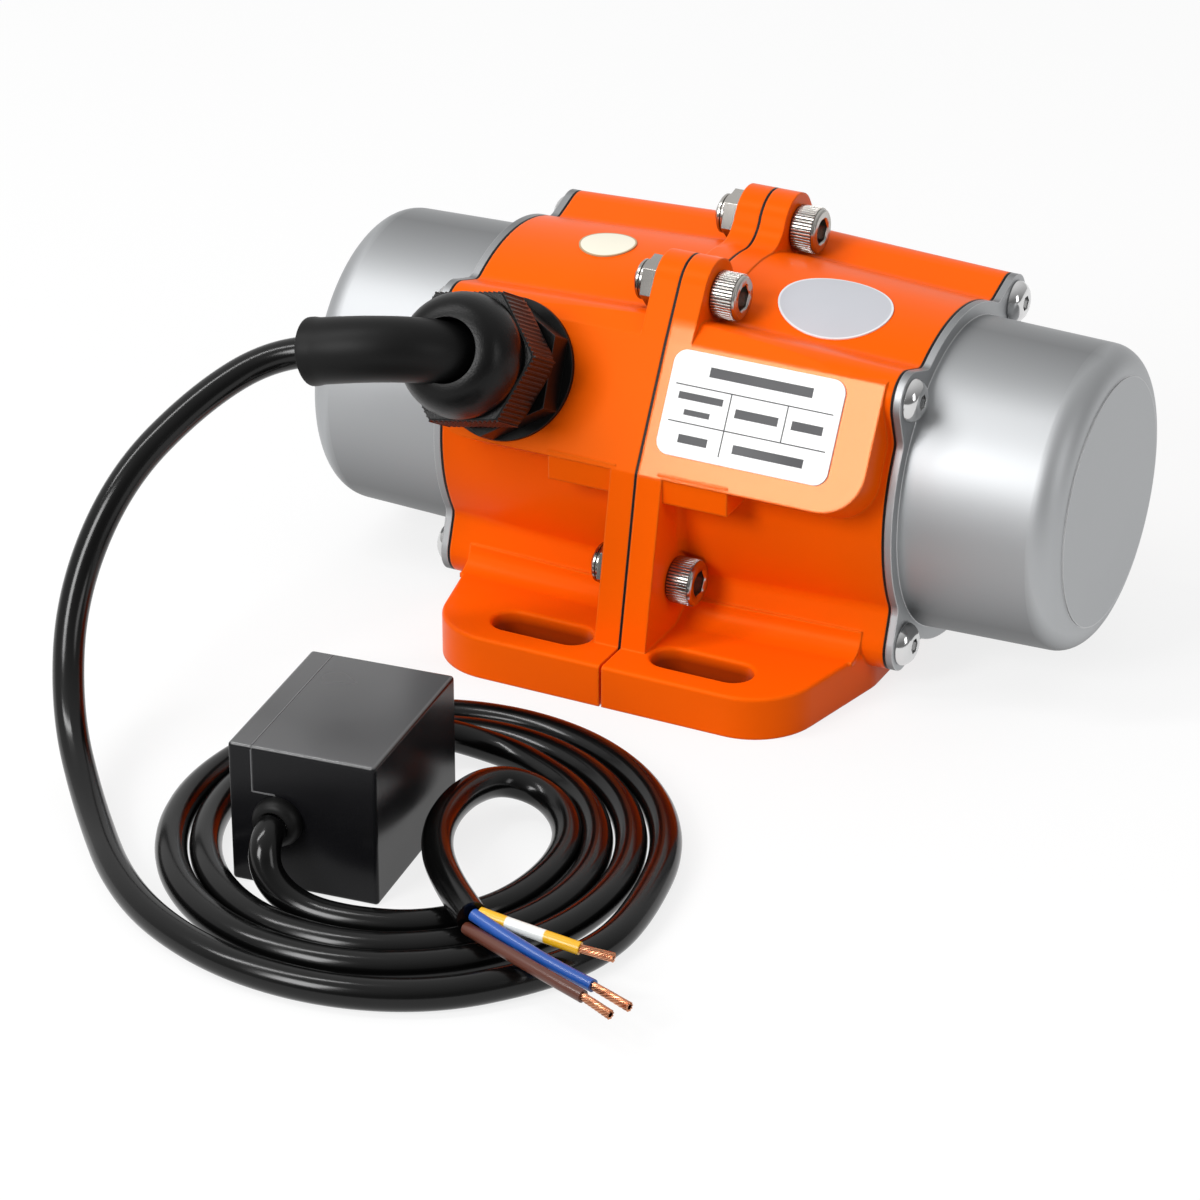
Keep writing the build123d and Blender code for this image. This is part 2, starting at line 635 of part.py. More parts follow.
def lock_nut(y, z):
    """Hexagonal lock nut with a round collar, against the left flange."""
    hex_end = -FLANGE_THICKNESS - NUT_HEX_HEIGHT
    nut = hex_prism(NUT_WIDTH, hex_end, -FLANGE_THICKNESS, y, z)
    nut += disc(NUT_COLLAR_RADIUS, hex_end - NUT_COLLAR_HEIGHT, hex_end, y, z)
    return nut - disc(BOLT_RADIUS, hex_end - NUT_COLLAR_HEIGHT, -FLANGE_THICKNESS, y, z)


def data_plate():
    """Bare plate on the right pad."""
    place = PAD_PLANE * Pos(PLATE_START + PLATE_WIDTH / 2, PLATE_MIDDLE)
    return extrude(place * RectangleRounded(PLATE_WIDTH, PLATE_HEIGHT, PLATE_CORNER), PLATE_THICKNESS)


def barrel_cone(extra):
    """Tapered barrel surface of the right half, grown by a little."""
    sections = [
        section_plane(PARTING_GAP / 2) * Circle(BARREL_RADIUS_MIDDLE + extra),
        section_plane(HOUSING_HALF_LENGTH) * Circle(BARREL_RADIUS_END + extra),
    ]
    return loft(sections, ruled=True)


def oval_sticker(x, angle, length, width):
    """Thin oval that follows the barrel, bare."""
    direction = (0, cos(radians(angle)), sin(radians(angle)))
    place = Plane(origin=(x, 0, AXIS_HEIGHT), x_dir=(1, 0, 0), z_dir=direction)
    column = extrude(place * Ellipse(length / 2, width / 2), 2 * BARREL_RADIUS_MIDDLE)
    return column & (barrel_cone(STICKER_THICKNESS) - barrel_cone(0))


def stator_core():
    """Laminated ring with open slots."""
    inner = ROTOR_RADIUS + AIR_GAP
    profile = Circle(BORE_RADIUS) - Circle(inner)
    slot_start = inner + STATOR_TOOTH_TIP
    slot = Pos(slot_start + STATOR_SLOT_DEPTH / 2, 0) * Rectangle(STATOR_SLOT_DEPTH, STATOR_SLOT_WIDTH)
    mouth = Pos(inner, 0) * Rectangle(4 * STATOR_TOOTH_TIP, STATOR_SLOT_MOUTH)
    for count in range(STATOR_SLOTS):
        profile -= Rot(0, 0, 360 / STATOR_SLOTS * count) * (slot + mouth)
    return extrude(section_plane(-STACK_HALF_LENGTH) * profile, 2 * STACK_HALF_LENGTH)


def stator_windings():
    """Slot bars joined by an end winding at each end."""
    slot_start = ROTOR_RADIUS + AIR_GAP + STATOR_TOOTH_TIP
    low = slot_start + LINER_GAP
    high = slot_start + STATOR_SLOT_DEPTH - LINER_GAP
    end = STACK_HALF_LENGTH + LINER_GAP
    winding = ring(high, low, end, end + WINDING_OVERHANG) + ring(high, low, -end - WINDING_OVERHANG, -end)
    bar = Pos((low + high) / 2, 0) * Rectangle(high - low - LINER_GAP, STATOR_SLOT_WIDTH - 2 * LINER_GAP)
    for count in range(STATOR_SLOTS):
        turned = Rot(0, 0, 360 / STATOR_SLOTS * count) * bar
        winding += extrude(section_plane(-end - 1) * turned, 2 * end + 2)
    return winding


def race_groove():
    """Torus that shapes both bearing races."""
    middle = BEARING_START + BEARING_WIDTH / 2
    pitch = (RACE_INNER_RADIUS + RACE_OUTER_RADIUS) / 2
    torus = Rot(0, 90, 0) * Torus(pitch, BALL_RADIUS + BALL_GAP)
    return Pos(middle, 0, AXIS_HEIGHT) * torus


def bearing_ring(outer, inner):
    """Bearing race with its groove, on the right."""
    return ring(outer, inner, BEARING_START, BEARING_START + BEARING_WIDTH) - race_groove()


def ball_spots():
    """Centres of the balls of the right bearing."""
    middle = BEARING_START + BEARING_WIDTH / 2
    pitch = (RACE_INNER_RADIUS + RACE_OUTER_RADIUS) / 2
    step = 2 * pi / BALL_COUNT
    return [
        Pos(middle, pitch * cos(step * count), AXIS_HEIGHT + pitch * sin(step * count))
        for count in range(BALL_COUNT)
    ]


def bearing_balls():
    """Balls of the right bearing."""
    return [spot * Sphere(BALL_RADIUS) for spot in ball_spots()]


def bearing_cage():
    """Pocketed ring that spaces the balls of the right bearing."""
    middle = BEARING_START + BEARING_WIDTH / 2
    pitch = (RACE_INNER_RADIUS + RACE_OUTER_RADIUS) / 2
    half = CAGE_WIDTH / 2
    cage = ring(pitch + CAGE_WALL / 2, pitch - CAGE_WALL / 2, middle - half, middle + half)
    for spot in ball_spots():
        cage -= spot * Sphere(BALL_RADIUS + BALL_GAP)
    return cage


INNER_WEIGHT_START = BEARING_START + BEARING_WIDTH + SPACER_LENGTH
OUTER_WEIGHT_START = INNER_WEIGHT_START + WEIGHT_THICKNESS + WEIGHT_GAP
CIRCLIP_START = OUTER_WEIGHT_START + WEIGHT_THICKNESS + WEIGHT_GAP
SHAFT_HALF_LENGTH = CIRCLIP_START + CIRCLIP_THICKNESS + SHAFT_PAST_CIRCLIP


def key_block(extra):
    """Parallel key of the right inner weight, on top of the shaft."""
    length = WEIGHT_THICKNESS + extra
    low = BEARING_BORE_RADIUS - KEY_DEPTH
    place = Pos(INNER_WEIGHT_START + length / 2 - extra / 2, 0, AXIS_HEIGHT + low + KEY_HEIGHT / 2)
    return place * Box(length, KEY_WIDTH, KEY_HEIGHT)


def shaft():
    """Stepped shaft with key seats and circlip grooves."""
    body = disc(SHAFT_BODY_RADIUS, -BEARING_START, BEARING_START)
    ends = disc(BEARING_BORE_RADIUS, -SHAFT_HALF_LENGTH, SHAFT_HALF_LENGTH)
    rims = [e for e in ends.edges() if abs(abs(e.center().X) - SHAFT_HALF_LENGTH) < PICK_GAP]
    ends = chamfer(rims, SHAFT_CHAMFER)
    groove_radius = BEARING_BORE_RADIUS - CIRCLIP_GROOVE
    groove_end = CIRCLIP_START + CIRCLIP_THICKNESS
    groove = ring(BEARING_OUTER_RADIUS, groove_radius, CIRCLIP_START, groove_end)
    cuts = groove + key_block(0)
    return body + ends - cuts - mirror(cuts, about=Plane.YZ)


def weight_sector():
    """Side view of the heavy sector, hanging down."""
    reach = 3 * WEIGHT_RADIUS
    half = radians(WEIGHT_HALF_ANGLE)
    side = reach * sin(half)
    drop = -reach * cos(half)
    wedge = make_face(Polyline((0, 0), (-side, drop), (0, -reach), (side, drop), close=True))
    return (Circle(WEIGHT_RADIUS) & wedge) + Circle(WEIGHT_HUB_RADIUS)


def inner_weight():
    """Keyed eccentric weight of the right end."""
    profile = weight_sector() - Circle(BEARING_BORE_RADIUS)
    return extrude(section_plane(INNER_WEIGHT_START) * profile, WEIGHT_THICKNESS) - key_block(0)


def clamp_screw_place(y):
    """Plane across the clamp screw of the right outer weight."""
    x = OUTER_WEIGHT_START + WEIGHT_THICKNESS / 2
    return Plane(origin=(x, y, AXIS_HEIGHT + CLAMP_SCREW_Z), x_dir=(1, 0, 0), z_dir=(0, 1, 0))


def outer_weight():
    """Adjustable eccentric weight of the right end, split and clamped."""
    block = Pos(0, CLAMP_BLOCK_TOP / 2) * Rectangle(CLAMP_BLOCK_WIDTH, CLAMP_BLOCK_TOP)
    slit = Pos(0, CLAMP_BLOCK_TOP / 2 + 1) * Rectangle(CLAMP_SLIT, CLAMP_BLOCK_TOP + 2)
    profile = weight_sector() + block - Circle(BEARING_BORE_RADIUS + WEIGHT_BORE_GAP) - slit
    weight = extrude(section_plane(OUTER_WEIGHT_START) * profile, WEIGHT_THICKNESS)
    hole = clamp_screw_place(-CLAMP_BLOCK_WIDTH) * Circle(CLAMP_SCREW_RADIUS)
    return weight - extrude(hole, 2 * CLAMP_BLOCK_WIDTH)


def clamp_screw():
    """Screw that pinches the right outer weight, head in front."""
    half = CLAMP_BLOCK_WIDTH / 2
    shank = extrude(clamp_screw_place(-half) * Circle(CLAMP_SCREW_RADIUS - THREAD_GAP), 2 * half)
    head_place = clamp_screw_place(-half - CLAMP_HEAD_HEIGHT)
    head = extrude(head_place * Circle(CLAMP_HEAD_RADIUS), CLAMP_HEAD_HEIGHT)
    hexagon = RegularPolygon(CLAMP_SOCKET / 2, 6, major_radius=False)
    socket = extrude(head_place * hexagon, CLAMP_SOCKET_DEPTH)
    return shank + head - socket


def circlip():
    """Retaining ring of the right end, open at the top."""
    inner = BEARING_BORE_RADIUS - CIRCLIP_GROOVE
    clip = ring(inner + CIRCLIP_WALL, inner, CIRCLIP_START, CIRCLIP_START + CIRCLIP_THICKNESS)
    gap = Pos(CIRCLIP_START, 0, AXIS_HEIGHT + inner + CIRCLIP_WALL / 2)
    return clip - gap * Box(4 * CIRCLIP_THICKNESS, CIRCLIP_OPENING, 2 * CIRCLIP_WALL)


GLAND_PLACE = Plane(
    origin=PAD_PLANE.origin - PAD_PLANE.x_dir * GLAND_X, x_dir=PAD_PLANE.x_dir, z_dir=PAD_PLANE.z_dir
)
GLAND_BODY_START = GLAND_GASKET_THICKNESS
GLAND_BODY_END = GLAND_BODY_START + GLAND_HEX_HEIGHT
DOME_START = GLAND_BODY_END + NUT_GAP
DOME_HEX_END = DOME_START + DOME_HEX_HEIGHT
DOME_TOP = DOME_HEX_END + DOME_HEIGHT


def gland_disc(radius, low, high):
    """Cylinder along the gland axis, measured from the pad face."""
    return extrude(GLAND_PLACE.offset(low) * Circle(radius), high - low)


def gland_hex(low, high, turn):
    """Turned hexagon along the gland axis with rounded corners."""
    hexagon = Rot(0, 0, turn) * RegularPolygon(GLAND_HEX / 2, 6, major_radius=False)
    profile = hexagon & Circle(GLAND_HEX * GLAND_HEX_TRIM)
    return extrude(GLAND_PLACE.offset(low) * profile, high - low)


def gland_gasket():
    """Flat ring under the gland body."""
    return gland_disc(GLAND_GASKET_RADIUS, 0, GLAND_GASKET_THICKNESS) - gland_disc(
        GLAND_THREAD_RADIUS, 0, GLAND_GASKET_THICKNESS
    )


def gland_body():
    """Hexagonal body with its thread and neck."""
    neck_end = GLAND_BODY_END + GLAND_NECK_LENGTH
    body = gland_hex(GLAND_BODY_START, GLAND_BODY_END, GLAND_BODY_TURN)
    body += gland_disc(GLAND_THREAD_RADIUS - THREAD_GAP, -GLAND_THREAD_LENGTH, GLAND_BODY_START)
    body += gland_disc(GLAND_NECK_RADIUS, GLAND_BODY_END, neck_end)
    return body - gland_disc(GLAND_NECK_RADIUS - GLAND_WALL, -GLAND_THREAD_LENGTH, neck_end)


def gland_dome_nut():
    """Cap nut: hexagon below, smooth dome above."""
    nut = gland_hex(DOME_START, DOME_HEX_END, DOME_TURN)
    dome = gland_disc(DOME_RADIUS, DOME_HEX_END, DOME_TOP)
    rim = dome.edges().sort_by(Axis(GLAND_PLACE.origin, GLAND_PLACE.z_dir))[-1]
    dome = fillet(rim, DOME_ROUND)
    neck_end = GLAND_BODY_END + GLAND_NECK_LENGTH
    nut = nut + dome - gland_disc(GLAND_NECK_RADIUS + THREAD_GAP, DOME_START, neck_end + NUT_GAP)
    return nut - gland_disc(SLEEVE_RADIUS + THREAD_GAP, DOME_START, DOME_TOP)


def gland_seal():
    """Rubber seal ring squeezed between the neck and the sleeve."""
    low = GLAND_BODY_START
    high = SLEEVE_START + 1
    outer = GLAND_NECK_RADIUS - GLAND_WALL
    seal = gland_disc(outer, low, GLAND_BODY_END + GLAND_NECK_LENGTH)
    return seal - gland_disc(MOTOR_LEAD_RADIUS, low, high)


def lead_path(name, points):
    """Straight runs joined by arcs as large as the runs allow."""
    spots = [Vector(*point) for point in points]
    runs = [(b - a) for a, b in zip(spots, spots[1:])]
    radii = []
    for before, after in zip(runs, runs[1:]):
        turn = radians(before.get_angle(after))
        radii.append(BEND_SHARE * min(before.length, after.length) / tan(turn / 2))
    path = FilletPolyline(*spots, radius=radii)
    print(name, "length", round(path.length, 1), "radii", [round(radius, 1) for radius in radii])
    return path


def lead_tube(name, points, radius):
    """Round tube along a path of runs and arcs."""
    path = lead_path(name, points)
    direction = Vector(*points[1]) - Vector(*points[0])
    start = Plane(origin=points[0], z_dir=direction) * Circle(radius)
    tube = sweep(start, path=path)
    print(name, "volume ratio", round(tube.volume / (pi * radius**2 * path.length), 4))
    return tube


def along_gland(distance):
    """Point on the gland axis at a distance from the pad face."""
    spot = GLAND_PLACE.origin + GLAND_PLACE.z_dir * distance
    return (spot.X, spot.Y, spot.Z)


def past_sleeve():
    """Point a short run beyond the sleeve end, straight on."""
    last = Vector(*SLEEVE_END)
    spot = last + (last - Vector(*along_gland(SLEEVE_TURN))).normalized() * SLEEVE_END_RUN
    return (spot.X, spot.Y, spot.Z)


def cable_sleeve():
    """Moulded strain relief that leaves the dome and bends to the left."""
    points = [along_gland(SLEEVE_START), along_gland(SLEEVE_TURN), SLEEVE_END]
    return lead_tube("cable_sleeve", points, SLEEVE_RADIUS)


def motor_lead_coil():
    """Outer shape of the coiled lead, one cable high."""
    outer = Pos(*COIL_CENTRE) * Ellipse(COIL_OUTER_HALF_WIDTH, COIL_OUTER_HALF_DEPTH)
    opening = Pos(*COIL_OPENING_CENTRE) * Ellipse(COIL_OPENING_HALF_WIDTH, COIL_OPENING_HALF_DEPTH)
    return extrude(outer - opening, 2 * MOTOR_LEAD_RADIUS)


BOX_PLACE = Location((BOX_CORNER[0], BOX_CORNER[1], 0), (0, 0, BOX_TURN))


def box_block(x_low, x_high, y_low, y_high, z_low, z_high):
    """Block in the frame of the capacitor box."""
    middle = Pos((x_low + x_high) / 2, (y_low + y_high) / 2, (z_low + z_high) / 2)
    return BOX_PLACE * middle * Box(x_high - x_low, y_high - y_low, z_high - z_low)


def box_disc(x, z, radius, y_low, y_high):
    """Cylinder along the depth of the capacitor box."""
    start = Plane(origin=(x, y_low, z), x_dir=(1, 0, 0), z_dir=(0, 1, 0))
    return BOX_PLACE * extrude(start * Circle(radius), y_high - y_low)


def box_outer():
    """Whole outside of the box with softened edges."""
    block = box_block(0, BOX_WIDTH, 0, BOX_DEPTH, 0, BOX_HEIGHT)
    return fillet(block.edges(), BOX_EDGE_ROUND)


def lid_region():
    """Space that belongs to the lid: the left side and a step at the front cable hole."""
    side = box_block(-1, LID_THICKNESS, -1, BOX_DEPTH + 1, -1, BOX_HEIGHT + 1)
    step = box_block(0, LID_THICKNESS + LID_STEP_WIDTH, -1, BOX_WALL, -1, LID_STEP_HEIGHT)
    return side + step


def box_holes():
    """Grommet holes in the front and rear walls."""
    front = box_disc(GROMMET_X, GROMMET_Z, GROMMET_NECK_RADIUS, -1, BOX_WALL + 1)
    rear_start = BOX_DEPTH - BOX_WALL - 1
    rear = box_disc(REAR_GROMMET_X, REAR_GROMMET_Z, GROMMET_NECK_RADIUS, rear_start, BOX_DEPTH + 1)
    return front + rear


def capacitor_case():
    """Box shell without its lid."""
    cavity = box_block(
        LID_THICKNESS - 1, BOX_WIDTH - BOX_WALL,
        BOX_WALL, BOX_DEPTH - BOX_WALL,
        BOX_WALL, BOX_HEIGHT - BOX_WALL,
    )
    return box_outer() - lid_region() - cavity - box_holes()


def capacitor_lid():
    """Left side of the box with the small front step."""
    cavity = box_block(
        BOX_WALL, LID_THICKNESS, BOX_WALL, BOX_DEPTH - BOX_WALL, BOX_WALL, BOX_HEIGHT - BOX_WALL
    )
    return (box_outer() & lid_region()) - cavity - box_holes()


def capacitor():
    """Film capacitor block inside the box, on its floor and against the right wall."""
    width, depth, height = CAPACITOR_SIZE
    right = BOX_WIDTH - BOX_WALL
    front = (BOX_DEPTH - depth) / 2
    return box_block(right - width, right, front, front + depth, BOX_WALL, BOX_WALL + height)


def grommet(x, z, wall_y, outward, lead_radius):
    """Rubber grommet in a box wall, outward being -1 in front and 1 behind."""
    low, high = sorted((wall_y, wall_y + outward * GROMMET_LENGTH))
    flange = box_disc(x, z, GROMMET_RADIUS, low, high)
    low, high = sorted((wall_y, wall_y - outward * BOX_WALL))
    neck = box_disc(x, z, GROMMET_NECK_RADIUS, low, high)
    return flange + neck


def box_point(x, y, z):
    """World position of a point in the box frame."""
    spot = (BOX_PLACE * Pos(x, y, z)).position
    return (spot.X, spot.Y, spot.Z)


def wire_strands():
    """Bare copper ends of the three wires."""
    bundles = []
    for name, tip in STRAND_TIPS.items():
        root = Vector(*WIRE_ROUTES[name][-1])
        run = Vector(*tip) - root
        place = Plane(origin=root + run.normalized() * THREAD_GAP, z_dir=run)
        bundles.append(extrude(place * Circle(STRAND_RADIUS), run.length))
    return bundles


def write(node, shapes):
    """Write one node, a single solid or a group of them."""
    group = shapes if isinstance(shapes, list) else [shapes]
    solids = [solid for shape in group for solid in shape.solids()]
    shape = solids[0] if len(solids) == 1 else Compound(children=solids)
    export_step(shape, "parts/" + node + ".step")


def write_pair(node, shapes):
    """Write a right-hand piece and its mirror image on the left."""
    group = shapes if isinstance(shapes, list) else [shapes]
    write(node + "_right", group)
    write(node + "_left", [mirror(shape, about=Plane.YZ) for shape in group])


def build_housing():
    write("housing_right", housing_half(False, WASHER_THICKNESS))
    write("housing_left", mirror(housing_half(True, 0), about=Plane.YZ))
    write("parting_seal", parting_seal())
    seat = HOUSING_HALF_LENGTH
    write_pair("end_cap_gasket", cap_section(seat, GASKET_THICKNESS, BORE_RADIUS))
    write_pair("end_cap", end_cap())
    write_pair("end_cap_screws", end_cap_screws())
    write("flange_bolts", [flange_bolt(y, z) for y, z in FLANGE_BOLT_SPOTS])
    write("flange_nuts", [lock_nut(y, z) for y, z in FLANGE_BOLT_SPOTS])
    write("data_plate", data_plate())
    right = oval_sticker(RIGHT_OVAL_X, RIGHT_OVAL_ANGLE, RIGHT_OVAL_LENGTH, RIGHT_OVAL_WIDTH)
    write("oval_sticker_right", right)
    left = oval_sticker(-LEFT_OVAL_X, LEFT_OVAL_ANGLE, LEFT_OVAL_LENGTH, LEFT_OVAL_WIDTH)
    write("oval_sticker_left", mirror(left, about=Plane.YZ))


def build_motor():
    write("stator_core", stator_core())
    write("stator_windings", stator_windings())
    write_pair("bearing_outer_ring", bearing_ring(BEARING_OUTER_RADIUS, RACE_OUTER_RADIUS))
    write_pair("bearing_inner_ring", bearing_ring(RACE_INNER_RADIUS, BEARING_BORE_RADIUS))
    write_pair("bearing_balls", bearing_balls())
    write_pair("bearing_cage", bearing_cage())
    washer_start = BEARING_START - WASHER_THICKNESS
    washer_outer = BEARING_OUTER_RADIUS - WASHER_CLEARANCE
    washer_inner = BEARING_OUTER_RADIUS - BEARING_LIP
    washer = ring(washer_outer, washer_inner, washer_start, BEARING_START)
    write("preload_washer", washer)
    write("shaft", shaft())
    write("rotor_core", ring(ROTOR_RADIUS, SHAFT_BODY_RADIUS, -STACK_HALF_LENGTH, STACK_HALF_LENGTH))
    end_ring_outer = ROTOR_RADIUS - AIR_GAP
    end_ring_inner = ROTOR_RADIUS - END_RING_WALL
    end_ring_end = STACK_HALF_LENGTH + END_RING_THICKNESS
    end_ring = ring(end_ring_outer, end_ring_inner, STACK_HALF_LENGTH, end_ring_end)
    write("rotor_end_rings", [end_ring, mirror(end_ring, about=Plane.YZ)])
    spacer_start = BEARING_START + BEARING_WIDTH
    spacer = ring(BEARING_BORE_RADIUS + SPACER_WALL, BEARING_BORE_RADIUS, spacer_start, INNER_WEIGHT_START)
    write("weight_spacers", [spacer, mirror(spacer, about=Plane.YZ)])
    write("weight_keys", [key_block(0), mirror(key_block(0), about=Plane.YZ)])
    write("circlips", [circlip(), mirror(circlip(), about=Plane.YZ)])
    write_pair("inner_weight", inner_weight())
    write_pair("outer_weight", outer_weight())
    write_pair("weight_clamp_screw", clamp_screw())


def build_leads():
    write("gland_gasket", gland_gasket())
    write("gland_body", gland_body())
    write("gland_seal", gland_seal())
    write("gland_dome_nut", gland_dome_nut())
    write("cable_sleeve", cable_sleeve())
    lead_route = [SLEEVE_END, past_sleeve()] + MOTOR_LEAD_ROUTE
    write("motor_lead", lead_tube("motor_lead", lead_route, MOTOR_LEAD_RADIUS))
    write("motor_lead_coil", motor_lead_coil())
    rear_end = box_point(REAR_GROMMET_X, BOX_DEPTH + GROMMET_LENGTH, REAR_GROMMET_Z)
    write("motor_lead_tail", lead_tube("motor_lead_tail", MOTOR_TAIL_ROUTE + [rear_end], MOTOR_LEAD_RADIUS))
    front_end = box_point(GROMMET_X, -GROMMET_LENGTH, GROMMET_Z)
    write("mains_lead", lead_tube("mains_lead", [front_end] + MAINS_LEAD_ROUTE, MAINS_LEAD_RADIUS))
    for name, route in WIRE_ROUTES.items():
        write(name, lead_tube(name, route, WIRE_RADIUS))
    write("wire_strands", wire_strands())
    write("capacitor_case", capacitor_case())
    write("capacitor_lid", capacitor_lid())
    write("capacitor", capacitor())
    write("grommet_front", grommet(GROMMET_X, GROMMET_Z, 0, -1, MAINS_LEAD_RADIUS))
    write("grommet_rear", grommet(REAR_GROMMET_X, REAR_GROMMET_Z, BOX_DEPTH, 1, MOTOR_LEAD_RADIUS))


build_housing()
build_motor()
build_leads()
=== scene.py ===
"""Vibration motor with its lead, capacitor box and mains lead, dressed on a plain studio floor."""
import json
from math import cos, pi, radians, sin, tau

import bmesh
import bpy
from mathutils import Matrix, Vector


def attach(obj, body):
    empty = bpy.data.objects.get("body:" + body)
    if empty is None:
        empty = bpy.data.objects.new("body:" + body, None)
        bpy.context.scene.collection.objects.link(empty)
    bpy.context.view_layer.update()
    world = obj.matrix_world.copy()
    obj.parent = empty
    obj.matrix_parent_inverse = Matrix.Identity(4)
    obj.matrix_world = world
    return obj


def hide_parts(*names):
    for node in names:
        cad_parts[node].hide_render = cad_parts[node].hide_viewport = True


bl_info = {
    "name": "Vibration motor",
    "version": (1, 0, 0),
    "blender": (4, 5, 0),
    "location": "3D View > Sidebar > Vibration motor",
    "description": "Dresses the packed vibration motor and sets up its studio",
    "category": "Object",
}

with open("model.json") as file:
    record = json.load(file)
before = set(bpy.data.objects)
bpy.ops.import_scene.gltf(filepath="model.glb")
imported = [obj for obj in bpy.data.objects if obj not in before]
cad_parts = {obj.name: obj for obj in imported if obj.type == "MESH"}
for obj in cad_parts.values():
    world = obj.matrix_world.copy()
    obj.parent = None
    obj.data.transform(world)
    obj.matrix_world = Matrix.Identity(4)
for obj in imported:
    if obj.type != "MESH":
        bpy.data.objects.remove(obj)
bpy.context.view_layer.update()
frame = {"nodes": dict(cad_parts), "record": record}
NODES = frame["nodes"]
MM = 0.001
HOUSING = "housing"

# Places shared with the solids, in millimetres
AXIS_HEIGHT = 39.5
FLANGE_FACE = 6.0
CAP_FACE = 54.2
FLANGE_BOLT_SPOTS = [(-20.3, 79.5), (20.3, 79.5), (-40.8, 21.2), (40.8, 21.2)]
CAP_SCREW_SPOTS = [(-28.5, 11.0), (28.5, 11.0), (-28.5, 68.0), (28.5, 68.0)]
PAD_ANGLE = radians(29.2)
PAD_DISTANCE = 45.3
PAD_NORMAL = Vector((0, -cos(PAD_ANGLE), sin(PAD_ANGLE)))
PAD_UP = Vector((0, sin(PAD_ANGLE), cos(PAD_ANGLE)))
PAD_ORIGIN = Vector((0, 0, AXIS_HEIGHT)) + PAD_NORMAL * PAD_DISTANCE
FOOT_TOP = 9.7
SLOT_X = 19.0
SLOT_Y = 54.0
SLOT_HALF_LENGTH = 11.75
SLOT_HALF_WIDTH = 4.55
SLOT_MARGIN = 0.1
# Painted shade on the slot walls grows from the first of these depths below the foot's top to the second
SLOT_SHADE_FROM = 0.5
SLOT_SHADE_TO = 3.0
BOX_CORNER = Vector((-33.6, -160.6, 0.0))
BOX_TURN = radians(6.0)
BOX_WIDE = Vector((cos(BOX_TURN), sin(BOX_TURN), 0))
BOX_DEEP = Vector((-sin(BOX_TURN), cos(BOX_TURN), 0))
BOX_DEPTH = 41.2
BOX_FRONT_HOLE = (10.6, 15.5)
BOX_REAR_HOLE = (15.7, 9.5)
GROMMET_LENGTH = 3.2
GROMMET_DEPTH = 2.0
GROMMET_FRONT_BORE = 3.15
GROMMET_REAR_BORE = 3.25

# The gland and its sleeve
GLAND_X = -34.5
DOME_TURN = radians(10.7)
DOME_SEGMENTS = 96
SLEEVE_START = 17.0
SLEEVE_BEND = 42.0
SLEEVE_END = Vector((-60.5, -77.0, 75.5))
SLEEVE_RADIUS = 6.7
SLEEVE_GROWTH = 0.35
SLEEVE_LIP = 2.2
SLEEVE_LIP_RISE = 0.2
SLEEVE_MOUTH = [(0.25, 6.9), (0.25, 5.0), (-1.5, 3.6)]
RIB_RING_SIDES = 6
RIB_RING = 15.6
RIB_SIZE = (0.34, 0.5, 10.4)
RIB_MIDDLE = 15.9

# Flange screws and nuts
NUT_TURN = radians(-12)
THREAD_END = -12.6
THREAD_STEP = 0.5
THREAD_TURNS = 6
KNURL_RING = 4.93
KNURL_SIZE = (0.40, 0.40, 4.7)
KNURL_MIDDLE = 8.8
KNURL_RING_SIDES = 72

# The lead's turns on the floor: a slightly oval spiral that closes by one pitch a turn
COIL_MIDDLE = (-6.65, -136.24)
COIL_FIRST_ANGLE = radians(357)
COIL_ANGLE_STEP = radians(25.9)
COIL_POINTS = 32
COIL_START_RADIUS = 54.4
COIL_PITCH = 7.06
COIL_OVAL = 1.45
COIL_OVAL_ANGLE = radians(110.8)

# Routes of the leads and wires, in millimetres
LEAD_RADIUS = 3.3
LEAD_ROUTE = [
    (-69.2, -78.7, 74.1),
    (-80.0, -92.0, 66.5),
    (-88.5, -110.0, 54.0),
    (-92.5, -124.0, 33.0),
    (-86.0, -138.0, 14.0),
    (-70.5, -155.0, 4.2),
    (-47.0, -180.0, LEAD_RADIUS),
    (-22.0, -192.5, LEAD_RADIUS),
    (3.0, -194.5, LEAD_RADIUS),
    (25.0, -187.0, LEAD_RADIUS),
    (40.0, -171.0, LEAD_RADIUS),
    (47.0, -156.0, LEAD_RADIUS),
]
TAIL_ROUTE = [
    (-9.0, -96.3, 3.9),
    (-19.0, -99.5, 6.5),
    (-23.3, -107.3, 9.2),
]
MAINS_RADIUS = 3.2
MAINS_ROUTE = [
    (-22.3, -167.0, 14.6),
    (-20.2, -169.8, 8.6),
    (-13.0, -170.2, 3.8),
    (-1.5, -169.6, MAINS_RADIUS),
    (12.0, -164.8, MAINS_RADIUS),
    (22.0, -152.5, MAINS_RADIUS),
    (25.0, -136.0, MAINS_RADIUS),
    (22.0, -120.5, 3.6),
    (12.0, -110.5, 5.0),
    (1.5, -112.5, 7.5),
    (-1.0, -126.0, 9.6),
    (2.5, -143.0, 10.4),
    (12.5, -157.5, 10.4),
    (24.0, -167.5, 10.4),
]
WIRE_DIAMETER = 2.6
WIRES = {
    "wire_yellow": {
        "slot": "yellow_green_wire", "tip": (53.9, -166.4, 8.8),
        "route": [(25.5, -166.9, 11.2), (36.0, -167.4, 10.4), (47.0, -166.9, 9.2)],
    },
    "wire_blue": {
        "slot": "blue_wire", "tip": (64.0, -180.2, 8.4),
        "route": [(24.6, -167.9, 11.2), (40.0, -173.3, 9.2), (55.0, -177.4, 9.0)],
    },
    "wire_brown": {
        "slot": "brown_wire", "tip": (62.0, -184.2, 8.4),
        "route": [(23.7, -169.1, 8.6), (38.0, -176.4, 9.8), (55.0, -181.6, 9.0)],
    },
}
WIRE_BAND = (0.0312, 0.0398)
STRAND_RADIUS = 0.25
